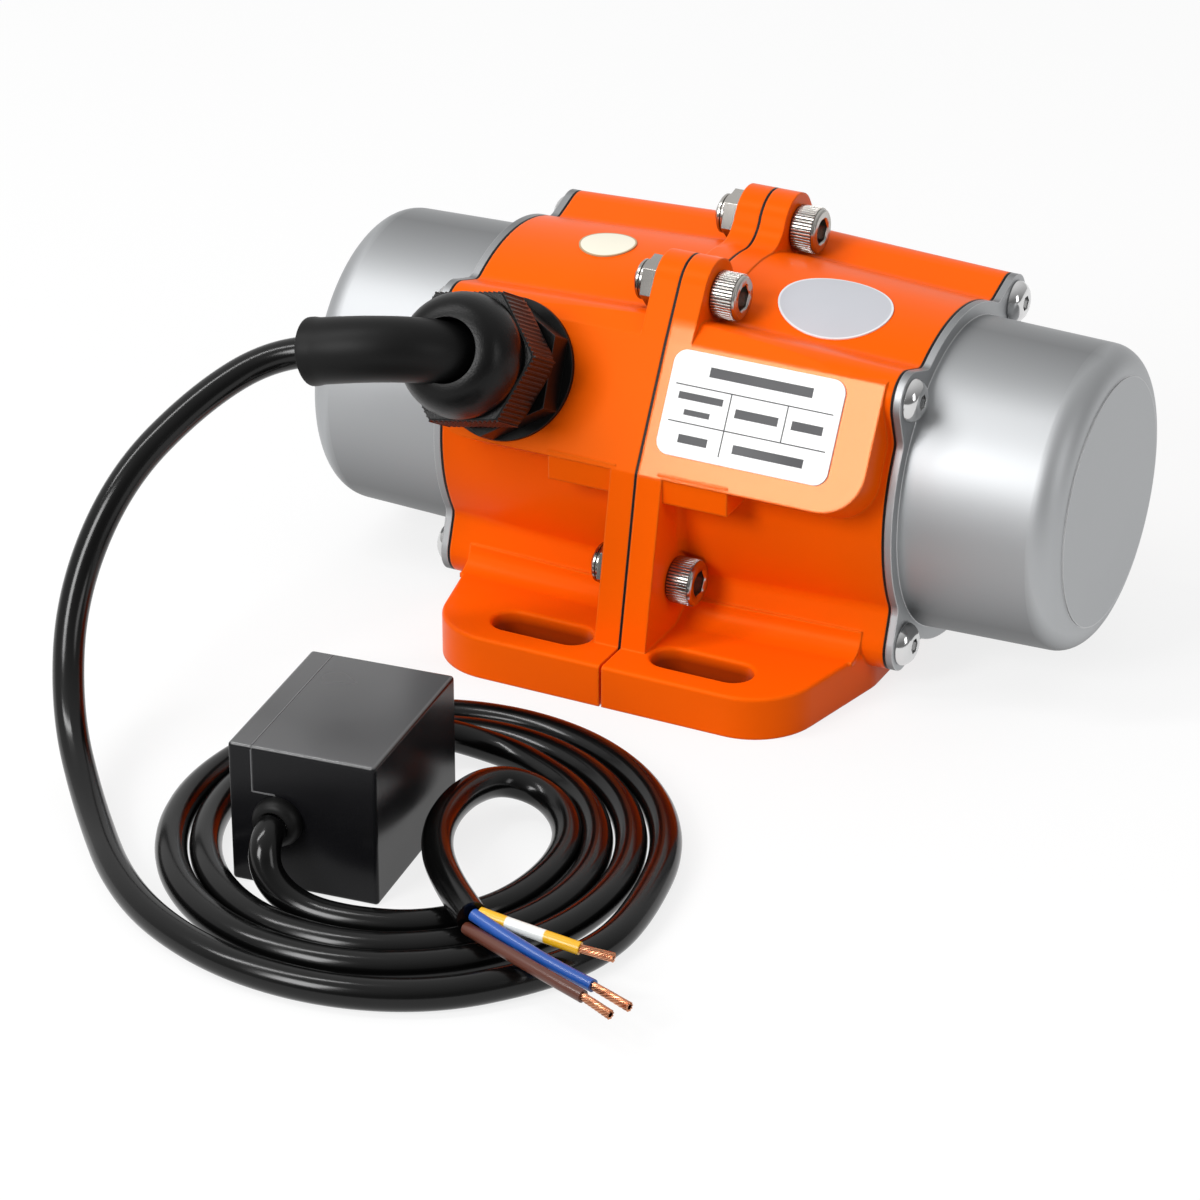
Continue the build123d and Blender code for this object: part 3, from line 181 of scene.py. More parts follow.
STRAND_STEPS = 24
STRAND_SIDES = 8
STRAND_ROOT_RING = 0.62
STRAND_TIP_RING = 0.75
STRAND_TWIST = 0.9

# Plate on the pad: its edges, its rules and its plain bars (start, end, row, thickness)
PLATE_LEFT = 3.0
PLATE_RIGHT = 42.3
PLATE_LOW = -10.7
PLATE_HIGH = 11.8
PLATE_WIDTH = PLATE_RIGHT - PLATE_LEFT
PLATE_HEIGHT = PLATE_HIGH - PLATE_LOW
PLATE_MARGIN = 1.6
PLATE_RULE_ROWS = (0.33, 0.68)
PLATE_RULE_COLUMNS = (0.37, 0.70)
PLATE_RULE_HALF = 0.13
PLATE_INK_BACK = 0.38
PLATE_INK_FRONT = 0.43
PLATE_BARS = [
    (0.22, 0.82, 0.17, 2.1),
    (0.07, 0.33, 0.43, 1.5),
    (0.12, 0.27, 0.58, 1.2),
    (0.41, 0.66, 0.50, 1.9),
    (0.74, 0.92, 0.50, 1.9),
    (0.12, 0.29, 0.83, 1.8),
    (0.44, 0.85, 0.83, 1.9),
]

# Seam between the box and its lid
SEAM_LID = 5.1
SEAM_STEP = 9.9
SEAM_LOW = 20.8
BOX_TOP = 31.0
SEAM_WIDTH = 0.22
SEAM_PROUD = 0.05
SEAM_INSET = 0.8

# Smoothness of curves and tubes
SHARP_ANGLE = radians(32)
TUBE_SEGMENTS = 40
CABLE_RESOLUTION = 16
CABLE_ROUNDNESS = 8
GUIDE_RESOLUTION = 24

# Nodes of the finishes
RANGE_INLETS = ("Value", "From Min", "From Max", "To Min", "To Max")
MIX_FIRST = 6
MIX_SECOND = 7
MIX_RESULT = 2
FINE_DETAIL = 3
SLOW_DETAIL = 2
ROUGHNESS_RANGE = (0.3, 0.7)
DRIFT_RANGE = (0.35, 0.65)
EDGE_RANGE = (0.995, 0.90)
BEVEL_SAMPLES = 6

# Looks that differ over one piece, painted shade and painted light among them
PAINT_SPECULAR = 0.13
PAINT_TINT = (1.0, 0.55, 0.15)
PAD_SPECULAR = 0.55
PAD_ROUGHNESS = 0.16
PAD_TINT = (1.0, 0.72, 0.42)
PAD_SIDE_EDGE = (0.0002, 0.0003)
PAD_FACE_DEPTH = (-0.0002, -0.0001)
# Colour of the painted shade on the walls of the foot's slots
SLOT_PAINTED_SHADE_COLOUR = (0.36, 0.034, 0.001)
# Painted shade on the end caps: the angle of their brightest band, the range and share of the shade, and its
# colour
CAP_PAINTED_LIGHT_ANGLE = radians(32)
CAP_PAINTED_SHADE_RANGE = (0.35, 0.97)
CAP_PAINTED_SHADE_SHARE = 0.62
CAP_PAINTED_SHADE_COLOUR = (0.02, 0.02, 0.02)
CAP_RING_SCALE = (3500, 12, 12)
BOX_TOP_RANGE = (0.5, 0.9)
BOX_SIDE_SPECULAR = 0.20
BOX_TOP_SPECULAR = 1.0
# Colour of the painted light that makes the top of the box paler
BOX_TOP_PAINTED_LIGHT_COLOUR = (0.07, 0.07, 0.072)
BAND_COLOUR = (0.82, 0.84, 0.80)
BAND_FADE = 0.0003
STICKER_RADIUS = 38.2
STICKER_RIM_FADE = 0.02
STICKERS = {
    "grey_sticker": {
        "x": 28.1, "angle": radians(103.4), "length": 25.2, "width": 20.4,
        "rim_colour": (0.76, 0.78, 0.80), "rim_start": 0.955,
    },
    "cream_sticker": {
        "x": -28.9, "angle": radians(94.0), "length": 13.0, "width": 11.4,
        "rim_colour": (0.45, 0.33, 0.18), "rim_start": 0.93,
    },
}

# Studio: lamps with their sizes in metres, surroundings and floor
KEY_DISTANCE = 1.1
KEY_SHIFT = Vector((0.10, 0, 0))
KEY_SIZE = (0.34, 0.40)
KEY_MIRROR = (26.0, -2.0, 0.0)
STRIP_PLACE = Vector((-0.50, -0.38, 0.95))
STRIP_SIZE = (0.10, 0.70)
SIDE_PLACE = Vector((1.0, -0.25, 0.45))
SIDE_SIZE = (0.30, 0.50)
LAMP_AIM = Vector((0, -0.06, 0.03))
BRIGHT_DIRECTION = Vector((-0.45, 0.50, 0.74))
BRIGHT_RANGE = (-0.35, 0.9)
DIM_SHARE = 0.35
BRIGHT_SHARE = 1.5
FLOOR_HALF_SIZE = 6.0
FLOOR_ROUGHNESS = 0.9
FLOOR_GLOW = 0.80
FLOOR_SEEN = (0.9, 0.9, 0.9)
FLOOR_UNSEEN = (0.45, 0.45, 0.45)
SENSOR_WIDTH = 36
CAMERA_REACH = 20


def rings(*places):
    """Round outlines (radius, height) of a turned mesh, in millimetres."""
    return [("round", radius, 0, height) for radius, height in places]


def hexes(*places):
    """Hexagonal outlines (half width across flats, reach of the corners, height)."""
    return [("hex", flat, reach, height) for flat, reach, height in places]


def thread():
    """Outlines of the screw thread."""
    places = []
    for number in range(THREAD_TURNS):
        low = THREAD_END + THREAD_STEP * number
        places += [(2.70, low), (2.95, low + THREAD_STEP / 2)]
    return rings(*places)


SCREW_HEAD_SIDE = rings((4.95, 6.25))
SCREW_PROFILE = (
    rings((2.2, -12.9)) + thread() + rings((2.95, -9.0), (2.95, 6.0), (4.7, 6.0)) + SCREW_HEAD_SIDE
    + rings((4.95, 11.3), (4.75, 11.75), (4.35, 12.0), (3.1, 12.0))
    + hexes((2.5, 2.95, 11.7), (2.5, 2.95, 9.0), (0.6, 0.7, 8.7))
)
NUT_GROOVE = rings((4.15, 4.75))
NUT_PROFILE = (
    hexes((5.0, 5.77, 0.0), (5.0, 5.77, 3.9), (4.7, 5.0, 4.15)) + rings((4.5, 4.15), (4.5, 4.7)) + NUT_GROOVE
    + rings((4.15, 5.0), (4.4, 5.05), (4.4, 5.55), (4.05, 5.9), (3.3, 6.0), (3.0, 5.8), (3.0, 0.0))
)
BUTTON_PROFILE = (
    rings((2.0, -12.0), (2.45, -11.5), (2.45, 0.0), (4.6, 0.0), (4.75, 0.2), (4.7, 0.55), (4.45, 1.25))
    + rings((4.0, 1.85), (3.35, 2.4), (2.6, 2.7), (2.0, 2.75))
    + hexes((1.5, 1.8, 2.6), (1.5, 1.8, 1.2), (0.4, 0.5, 1.0))
)
DOME_PROFILE = (
    hexes((13.0, 13.6, 8.7), (13.5, 14.6, 9.5), (13.5, 15.5, 10.4), (13.5, 15.5, 21.4), (13.2, 15.1, 21.7))
    + rings((12.9, 21.7), (13.3, 22.2), (13.5, 23.2), (13.4, 24.4), (13.0, 26.4), (12.3, 28.4), (11.2, 30.2))
    + rings((9.9, 31.3), (8.2, 31.9), (7.1, 32.0), (6.95, 31.8), (6.95, 17.0), (10.6, 16.0), (10.6, 8.7))
)
GROMMET_PROFILE = rings(
    (4.2, -GROMMET_DEPTH), (4.2, 0.02), (5.1, 0.02), (5.2, 0.3), (5.15, 1.4), (4.8, 2.3),
    (4.25, 2.9), (3.7, 3.15)
)

# Finishes by slot: name, colour or the setting it comes from, smoothest and roughest, and options
FINISHES = {
    "orange_paint": ("orange paint", "paint", 0.30, 0.38, {
        "grains": 650, "drift": 22, "bump": 0.08, "depth": 0.00004, "dark": 0.94, "edge": 0.0007,
        "edge_highlight_colour": (1.0, 0.22, 0.02), "edge_highlight_strength": 0.35,
    }),
    "aluminium_cap": ("drawn aluminium", "aluminium", 0.49, 0.56, {
        "grains": 2500, "drift": 18, "bump": 0.05, "dark": 0.94, "metallic": 1.0, "edge": 0.0004,
        "edge_highlight_colour": (0.9, 0.9, 0.9), "edge_highlight_strength": 0.5,
    }),
    "bright_screws": ("polished screws", "polished", 0.08, 0.14, {
        "grains": 1800, "bump": 0.03, "metallic": 1.0, "edge": 0.0002,
    }),
    # Dark metal that paints shade between the knurls of the screw heads and in the nut's groove
    "groove_shade": ("shaded grooves", (0.06, 0.055, 0.05), 0.35, 0.5, {"metallic": 1.0, "edge": 0.0001}),
    "zinc_bolts": ("bright zinc", "steel", 0.17, 0.24, {
        "grains": 2200, "bump": 0.02, "dark": 0.7, "metallic": 1.0, "edge": 0.00015,
    }),
    "black_rubber": ("black rubber", (0.005, 0.005, 0.005), 0.38, 0.50, {
        "grains": 2600, "bump": 0.25, "dark": 0.8, "specular": 0.18,
        "edge_highlight_colour": (0.05, 0.05, 0.05), "edge_highlight_strength": 0.5,
    }),
    "black_plastic": ("gland nylon", "nylon", 0.26, 0.40, {
        "grains": 2600, "bump": 0.8, "depth": 0.00006, "dark": 0.8, "specular": 0.20,
        "edge_highlight_colour": (0.09, 0.09, 0.09), "edge_highlight_strength": 0.6,
    }),
    "box_plastic": ("box plastic", "box", 0.20, 0.28, {
        "grains": 2600, "bump": 0.10, "dark": 0.9, "edge": 0.0004,
        "edge_highlight_colour": (0.16, 0.16, 0.16), "edge_highlight_strength": 0.8,
    }),
    # Pale finish that paints the highlight along the joint of the box and its lid
    "seam_lip": ("seam lip", (0.16, 0.16, 0.165), 0.3, 0.4, {"bump": 0.05, "edge": 0.00005}),
    "black_cable": ("lead sheath", "sheath", 0.15, 0.21, {
        "grains": 500, "drift": 60, "bump": 0.04, "depth": 0.00005, "dark": 0.85, "edge": 0.0002,
        "specular": 0.34,
    }),
    "pale_plate": ("pale plate", "plate", 0.32, 0.40, {
        "grains": 1500, "bump": 0.03, "dark": 0.98, "edge": 0.0002,
    }),
    "plate_ink": ("plate ink", (0.035, 0.035, 0.04), 0.4, 0.5, {"bump": 0.02, "edge": 0.00002}),
    "grey_sticker": ("grey sticker", "grey_sticker", 0.35, 0.45, {
        "grains": 1200, "bump": 0.04, "dark": 0.96, "edge": 0.0001,
    }),
    "cream_sticker": ("cream sticker", "cream_sticker", 0.35, 0.45, {
        "grains": 1200, "bump": 0.04, "dark": 0.96, "edge": 0.0001,
    }),
    "capacitor_shell": ("capacitor shell", (0.5, 0.5, 0.46), 0.4, 0.5, {}),
    "core_steel": ("laminated steel", (0.20, 0.20, 0.21), 0.35, 0.5, {
        "grains": 2000, "bump": 0.3, "metallic": 0.9,
    }),
    "rotor_aluminium": ("rotor aluminium", (0.6, 0.6, 0.62), 0.35, 0.5, {
        "grains": 1200, "bump": 0.2, "metallic": 1.0,
    }),
    "copper_winding": ("enamelled copper", (0.45, 0.14, 0.05), 0.25, 0.4, {
        "grains": 1800, "bump": 0.4, "metallic": 0.8, "coat": 0.4,
    }),
    "copper_strand": ("bare copper", (0.80, 0.36, 0.20), 0.22, 0.35, {
        "grains": 3000, "bump": 0.1, "dark": 0.7, "metallic": 1.0, "edge": 0.00005,
    }),
    "bearing_steel": ("bearing steel", (0.62, 0.62, 0.64), 0.10, 0.2, {
        "grains": 1500, "bump": 0.03, "metallic": 1.0,
    }),
    "cage_plastic": ("cage plastic", (0.45, 0.36, 0.2), 0.4, 0.55, {}),
    "shaft_steel": ("turned steel", (0.5, 0.5, 0.52), 0.22, 0.36, {
        "grains": 2600, "bump": 0.15, "metallic": 1.0,
    }),
    "weight_steel": ("sawn steel", (0.28, 0.28, 0.29), 0.35, 0.55, {
        "grains": 1400, "bump": 0.3, "dark": 0.75, "metallic": 1.0,
    }),
    "yellow_green_wire": ("yellow insulation", (0.86, 0.46, 0.005), 0.28, 0.38, {
        "grains": 1500, "bump": 0.05, "coat": 0.2,
    }),
    "blue_wire": ("blue insulation", (0.006, 0.075, 0.36), 0.28, 0.38, {
        "grains": 1500, "bump": 0.05, "coat": 0.2,
    }),
    "brown_wire": ("brown insulation", (0.10, 0.025, 0.012), 0.28, 0.38, {
        "grains": 1500, "bump": 0.05, "coat": 0.2,
    }),
}


def mm(point):
    """A point in millimetres, as a vector in metres."""
    return Vector(point) * MM


def coil_point(number):
    """One control point of the coil on the floor, in millimetres."""
    walked = number * COIL_ANGLE_STEP
    turn = COIL_FIRST_ANGLE + walked
    distance = COIL_START_RADIUS - COIL_PITCH * walked / tau + COIL_OVAL * cos(2 * (turn - COIL_OVAL_ANGLE))
    return (COIL_MIDDLE[0] + distance * cos(turn), COIL_MIDDLE[1] + distance * sin(turn), LEAD_RADIUS)


def box_point(x, y, z):
    """Place in millimetres of a point measured in the capacitor box."""
    return BOX_CORNER + BOX_WIDE * x + BOX_DEEP * y + Vector((0, 0, z))


def front_hole(out=0.0):
    """Middle of the box's front hole, some millimetres outward."""
    across, height = BOX_FRONT_HOLE
    return box_point(across, -out, height)


def rear_hole(out=0.0):
    """Middle of the box's rear hole, some millimetres outward."""
    across, height = BOX_REAR_HOLE
    return box_point(across, BOX_DEPTH + out, height)


def pad_point(x, up, out):
    """Place in millimetres of a point measured on the pad face."""
    return PAD_ORIGIN + Vector((x, 0, 0)) + PAD_UP * up + PAD_NORMAL * out


def toward(origin, direction):
    """Matrix that takes local Z to a direction at an origin in millimetres."""
    turn = Vector(direction).to_track_quat("Z", "Y").to_matrix().to_4x4()
    return Matrix.Translation(mm(origin)) @ turn


def tone_property(name, what, tone):
    """Setting for the colour of a finish, as linear values."""
    return bpy.props.FloatVectorProperty(
        name=name, description="Colour of " + what, subtype="COLOR", size=3, min=0, max=1, default=tone
    )


def diameter_property(name, what, diameter, smallest, largest):
    """Setting for the diameter of a lead or of the wires."""
    return bpy.props.FloatProperty(
        name=name, description="Diameter of " + what, unit="LENGTH", default=diameter, min=smallest,
        max=largest
    )


class Colours(bpy.types.PropertyGroup):
    """Colours of the finishes, as linear values."""

    paint: tone_property("Housing paint", "the painted castings", (0.98, 0.118, 0.001))
    aluminium: tone_property("End caps", "the drawn end caps", (0.46, 0.47, 0.48))
    steel: tone_property("Bright steel", "screws and nuts", (0.50, 0.48, 0.45))
    polished: tone_property("Polished steel", "the end cap screws", (0.70, 0.70, 0.70))
    sheath: tone_property("Lead sheath", "the black leads", (0.002, 0.002, 0.002))
    nylon: tone_property("Gland nylon", "the cable gland", (0.004, 0.004, 0.004))
    box: tone_property("Capacitor box", "the moulded box", (0.006, 0.006, 0.007))
    plate: tone_property("Plate", "the plate on the pad", (0.90, 0.90, 0.90))
    grey_sticker: tone_property("Grey sticker", "the large oval sticker", (0.53, 0.54, 0.58))
    cream_sticker: tone_property("Cream sticker", "the small oval sticker", (0.86, 0.82, 0.68))


class Sizes(bpy.types.PropertyGroup):
    """Sizes that a user may change."""

    lead_diameter: diameter_property("Motor lead", "the motor lead", 2 * LEAD_RADIUS * MM, 0.002, 0.01)
    mains_diameter: diameter_property("Mains lead", "the mains lead", 2 * MAINS_RADIUS * MM, 0.002, 0.01)
    wire_diameter: diameter_property("Wires", "the insulated wires", WIRE_DIAMETER * MM, 0.001, 0.004)
    strand_count: bpy.props.IntProperty(
        name="Strands", description="Copper strands in each bare end", default=9, min=3, max=19
    )
    knurl_count: bpy.props.IntProperty(
        name="Knurls", description="Ridges round a flange screw head", default=44, min=12, max=80
    )
    rib_count: bpy.props.IntProperty(
        name="Gland ribs", description="Ribs round the gland nut", default=84, min=24, max=160
    )


class Studio(bpy.types.PropertyGroup):
    """Camera and lamps."""

    azimuth: bpy.props.FloatProperty(
        name="Azimuth", description="Camera direction", subtype="ANGLE", default=radians(26.54)
    )
    elevation: bpy.props.FloatProperty(
        name="Elevation", description="Camera height angle", subtype="ANGLE", default=radians(27.34)
    )
    distance: bpy.props.FloatProperty(
        name="Distance", description="Camera distance from its aim", unit="LENGTH", default=1.05896
    )
    lens: bpy.props.FloatProperty(
        name="Lens", description="Focal length for a 36 mm wide sensor", default=139.78
    )
    aim: bpy.props.FloatVectorProperty(
        name="Aim", description="Point in the middle of the picture",
        subtype="XYZ", unit="LENGTH", size=3, default=(-0.03217, 0.0, -0.01173)
    )
    ambient: bpy.props.FloatProperty(
        name="Ambient", description="Strength of the even light from all round", default=0.55
    )
    key: bpy.props.FloatProperty(
        name="Key lamp", description="Power of the large lamp in front", unit="POWER", default=6.0
    )
    strip: bpy.props.FloatProperty(
        name="Strip lamp", description="Power of the narrow lamp above", unit="POWER", default=3.8
    )
    fill: bpy.props.FloatProperty(
        name="Side lamp", description="Power of the lamp at the right", unit="POWER", default=1.5
    )


def feed(tree, inlet, value):
    """Gives an inlet a value, or links the outlet of another node to it."""
    if isinstance(value, bpy.types.NodeSocket):
        tree.links.new(value, inlet)
    else:
        inlet.default_value = value


def join(tree, *links):
    """Links nodes, each link given as node, outlet, node, inlet."""
    for source, outlet, target, inlet in links:
        tree.links.new(source.outputs[outlet], target.inputs[inlet])


def mapped(tree, value, low, high, low_out=0.0, high_out=1.0):
    """Value stretched from one range to another; each is a socket or a number."""
    node = tree.nodes.new("ShaderNodeMapRange")
    for label, entry in zip(RANGE_INLETS, (value, low, high, low_out, high_out)):
        feed(tree, node.inputs[label], entry)
    return node.outputs["Result"]


def calculated(tree, operation, *values):
    """Result of one sum; each value is a socket or a number."""
    node = tree.nodes.new("ShaderNodeMath")
    node.operation = operation
    for inlet, value in zip(node.inputs, values):
        feed(tree, inlet, value)
    return node.outputs["Value"]


def dotted(tree, first, second):
    """Dot product of two vectors; each is a socket or a value."""
    node = tree.nodes.new("ShaderNodeVectorMath")
    node.operation = "DOT_PRODUCT"
    feed(tree, node.inputs[0], first)
    feed(tree, node.inputs[1], second)
    return node.outputs["Value"]


def mixed_colour(tree, factor, first, second):
    """Colour between two values or sockets by a factor socket."""
    mix = tree.nodes.new("ShaderNodeMix")
    mix.data_type = "RGBA"
    tree.links.new(factor, mix.inputs["Factor"])
    for inlet, colour in ((MIX_FIRST, first), (MIX_SECOND, second)):
        feed(tree, mix.inputs[inlet], colour if isinstance(colour, bpy.types.NodeSocket) else (*colour, 1))
    return mix.outputs[MIX_RESULT]


def tinted(tree, factor, colour):
    """Mixes a colour into the base colour of a finish by a factor socket."""
    inlet = tree.nodes["Principled BSDF"].inputs["Base Color"]
    tree.links.new(mixed_colour(tree, factor, inlet.links[0].from_socket, colour), inlet)


def surface(tree, kind):
    """Place or normal of a surface point, in object space."""
    return tree.nodes.new("ShaderNodeTexCoord").outputs[kind]


def split_up(tree, vector):
    """X, Y and Z of a vector."""
    split = tree.nodes.new("ShaderNodeSeparateXYZ")
    tree.links.new(vector, split.inputs["Vector"])
    return split.outputs


def noise(tree, place, scale, detail):
    """Noise at a place; its scale is a socket or a number."""
    node = tree.nodes.new("ShaderNodeTexNoise")
    node.inputs["Detail"].default_value = detail
    tree.links.new(place, node.inputs["Vector"])
    feed(tree, node.inputs["Scale"], scale)
    return node.outputs["Fac"]


def node_group(name, kind, inputs, outputs):
    """Empty node group with named inlets and outlets, and the nodes at its two ends."""
    tree = bpy.data.node_groups.new(name, kind)
    for in_out, sockets in (("OUTPUT", outputs), ("INPUT", inputs)):
        for label, socket in sockets.items():
            tree.interface.new_socket(label, in_out=in_out, socket_type="NodeSocket" + socket)
    return tree, tree.nodes.new("NodeGroupInput"), tree.nodes.new("NodeGroupOutput")


def grain_group():
    """Fine height grain with a slow drift, read in object space."""
    tree, start, end = node_group(
        "surface grain", "ShaderNodeTree",
        {"Grains per metre": "Float", "Drift per metre": "Float", "Smoothest": "Float", "Roughest": "Float"},
        {"Height": "Float", "Drift": "Float", "Roughness": "Float"}
    )
    place = surface(tree, "Object")
    fine = noise(tree, place, start.outputs["Grains per metre"], FINE_DETAIL)
    slow = noise(tree, place, start.outputs["Drift per metre"], SLOW_DETAIL)
    rough = mapped(tree, slow, *ROUGHNESS_RANGE, start.outputs["Smoothest"], start.outputs["Roughest"])
    for label, result in (("Height", fine), ("Drift", slow), ("Roughness", rough)):
        tree.links.new(result, end.inputs[label])
    return tree


def edge_group():
    """Rounded normal for a softened look, and a mask of the edges where a highlight is painted."""
    tree, start, end = node_group(
        "soft edges", "ShaderNodeTree", {"Radius": "Float"}, {"Mask": "Float", "Normal": "Vector"}
    )
    bevel = tree.nodes.new("ShaderNodeBevel")
    bevel.samples = BEVEL_SAMPLES
    true_normal = tree.nodes.new("ShaderNodeNewGeometry")
    alike = dotted(tree, bevel.outputs["Normal"], true_normal.outputs["Normal"])
    tree.links.new(mapped(tree, alike, *EDGE_RANGE), end.inputs["Mask"])
    join(tree, (start, "Radius", bevel, "Radius"), (bevel, "Normal", end, "Normal"))
    return tree


def oval_group():
    """Distance from the middle of an oval sticker: 1 at its rim."""
    tree, start, end = node_group(
        "oval distance", "ShaderNodeTree",
        {"Middle": "Vector", "Across": "Vector", "Along": "Vector"}, {"Distance": "Float"}
    )
    from_middle = tree.nodes.new("ShaderNodeVectorMath")
    from_middle.operation = "SUBTRACT"
    tree.links.new(surface(tree, "Object"), from_middle.inputs[0])
    tree.links.new(start.outputs["Middle"], from_middle.inputs[1])
    squares = []
    for label in ("Across", "Along"):
        share = dotted(tree, from_middle.outputs["Vector"], start.outputs[label])
        squares.append(calculated(tree, "MULTIPLY", share, share))
    distance = calculated(tree, "SQRT", calculated(tree, "ADD", *squares))
    tree.links.new(distance, end.inputs["Distance"])
    return tree


def group_node(tree, name, **values):
    """A shared group in a material with its own values, built the first time it is asked for."""
    makers = {"surface grain": grain_group, "soft edges": edge_group, "oval distance": oval_group}
    node = tree.nodes.new("ShaderNodeGroup")
    node.node_tree = bpy.data.node_groups.get(name) or makers[name]()
    for label, value in values.items():
        node.inputs[label.replace("_", " ")].default_value = value
    return node


def finish_material(name, colour, smoothest, roughest, grains=900.0, drift=40.0, bump=0.15, depth=0.00003,
                    dark=0.88, metallic=0.0, edge=0.0003, edge_highlight_colour=None, edge_highlight_strength=0.0, coat=0.0,
                    specular=0.5):
    """Procedural finish: drifting colour, grain, softened edges and a painted highlight on the edges."""
    material = bpy.data.materials.new(name)
    material.use_nodes = True
    tree = material.node_tree
    shader = tree.nodes["Principled BSDF"]
    grain = group_node(
        tree, "surface grain", Grains_per_metre=grains, Drift_per_metre=drift,
        Smoothest=smoothest, Roughest=roughest
    )
    rim = group_node(tree, "soft edges", Radius=edge)
    drifting = mapped(tree, grain.outputs["Drift"], *DRIFT_RANGE)
    base = mixed_colour(tree, drifting, [channel * dark for channel in colour], colour)
    # Painted highlight: the edge colour is mixed in where the bevel finds an edge
    if edge_highlight_strength:
        edge_highlight_amount = mapped(tree, rim.outputs["Mask"], 0.0, 1.0, 0.0, edge_highlight_strength)
        base = mixed_colour(tree, edge_highlight_amount, base, edge_highlight_colour)
    tree.links.new(base, shader.inputs["Base Color"])
    height = tree.nodes.new("ShaderNodeBump")
    height.inputs["Strength"].default_value = bump
    height.inputs["Distance"].default_value = depth
    join(
        tree, (grain, "Height", height, "Height"), (rim, "Normal", height, "Normal"),
        (grain, "Roughness", shader, "Roughness"), (height, "Normal", shader, "Normal")
    )
    shader.inputs["Metallic"].default_value = metallic
    shader.inputs["Coat Weight"].default_value = coat
    shader.inputs["Coat Roughness"].default_value = smoothest / 2
    shader.inputs["Specular IOR Level"].default_value = specular
    return material


def banded_wire(tree):
    """Adds a pale band between two positions along X."""
    along = split_up(tree, surface(tree, "Object"))["X"]
    low, high = WIRE_BAND
    after = mapped(tree, along, low, low + BAND_FADE)
    before = mapped(tree, along, high, high - BAND_FADE)
    tinted(tree, calculated(tree, "MULTIPLY", after, before), BAND_COLOUR)


def oval_sticker(tree, x, angle, length, width, rim_colour, rim_start):
    """Adds the rim of an oval sticker on the barrel."""
    middle = Vector((x, STICKER_RADIUS * cos(angle), AXIS_HEIGHT + STICKER_RADIUS * sin(angle))) * MM
    across = Vector((2 / (length * MM), 0, 0))
    along = Vector((0, -sin(angle), cos(angle))) * (2 / (width * MM))
    oval = group_node(tree, "oval distance", Middle=middle, Across=across, Along=along)
    rim = mapped(tree, oval.outputs["Distance"], rim_start, rim_start + STICKER_RIM_FADE)
    tinted(tree, rim, rim_colour)


def brushed_cap_and_painted_shade(tree):
    """Adds faint rings round the shaft axis, and painted shade that makes the top and underside darker."""
    squeeze = tree.nodes.new("ShaderNodeMapping")
    squeeze.inputs["Scale"].default_value = CAP_RING_SCALE
    tree.links.new(surface(tree, "Object"), squeeze.inputs["Vector"])
    circles = noise(tree, squeeze.outputs["Vector"], 1.0, SLOW_DETAIL)
    bump = next(node for node in tree.nodes if node.type == "BUMP")
    tree.links.new(circles, bump.inputs["Height"])
    # Painted shade: faces turned toward the front or back a little upward, and the end faces, stay bright;
    # the top and underside get darker
    x, y, z = split_up(tree, surface(tree, "Normal"))
    level = calculated(tree, "MULTIPLY", calculated(tree, "ABSOLUTE", y), cos(CAP_PAINTED_LIGHT_ANGLE))
    rise = calculated(tree, "MULTIPLY", z, sin(CAP_PAINTED_LIGHT_ANGLE))
    painted_light_facing = calculated(tree, "ADD", calculated(tree, "ADD", level, rise), calculated(tree, "ABSOLUTE", x))
    tinted(tree, mapped(tree, painted_light_facing, *CAP_PAINTED_SHADE_RANGE, CAP_PAINTED_SHADE_SHARE, 0.0), CAP_PAINTED_SHADE_COLOUR)


def slot_painted_shade_mask(tree, x, y, z):
    """One on the walls of the foot's slots, where shade is painted, nought elsewhere."""
    shallow = (FOOT_TOP - SLOT_SHADE_FROM) * MM
    deep = (FOOT_TOP - SLOT_SHADE_TO) * MM
    mask = mapped(tree, z, deep, shallow, 1.0, 0.0)
    for place, middle, half in ((x, SLOT_X, SLOT_HALF_LENGTH), (y, SLOT_Y, SLOT_HALF_WIDTH)):
        beside = calculated(tree, "SUBTRACT", calculated(tree, "ABSOLUTE", place), middle * MM)
        away = calculated(tree, "ABSOLUTE", beside)
        inside = mapped(tree, away, half * MM, (half + SLOT_MARGIN) * MM, 1.0, 0.0)
        mask = calculated(tree, "MULTIPLY", mask, inside)
    return mask


def painted_casting(tree):
    """Makes the paint smoother where the right pad is flat, and paints shade on the walls of the foot's
    slots.
    """
    shader = tree.nodes["Principled BSDF"]
    place = surface(tree, "Object")
    x, y, z = split_up(tree, place)
    face = PAD_ORIGIN.dot(PAD_NORMAL) * MM
    below, above = [face + depth for depth in PAD_FACE_DEPTH]
    on_face = mapped(tree, dotted(tree, place, PAD_NORMAL), below, above)
    pad = calculated(tree, "MULTIPLY", mapped(tree, x, *PAD_SIDE_EDGE), on_face)
    rough = shader.inputs["Roughness"]
    tree.links.new(mapped(tree, pad, 0.0, 1.0, rough.links[0].from_socket, PAD_ROUGHNESS), rough)
    level = mapped(tree, pad, 0.0, 1.0, PAINT_SPECULAR, PAD_SPECULAR)
    tree.links.new(level, shader.inputs["Specular IOR Level"])
    tree.links.new(mixed_colour(tree, pad, PAINT_TINT, PAD_TINT), shader.inputs["Specular Tint"])
    # Painted shade on the walls of the foot's slots
    tinted(tree, slot_painted_shade_mask(tree, x, y, z), SLOT_PAINTED_SHADE_COLOUR)


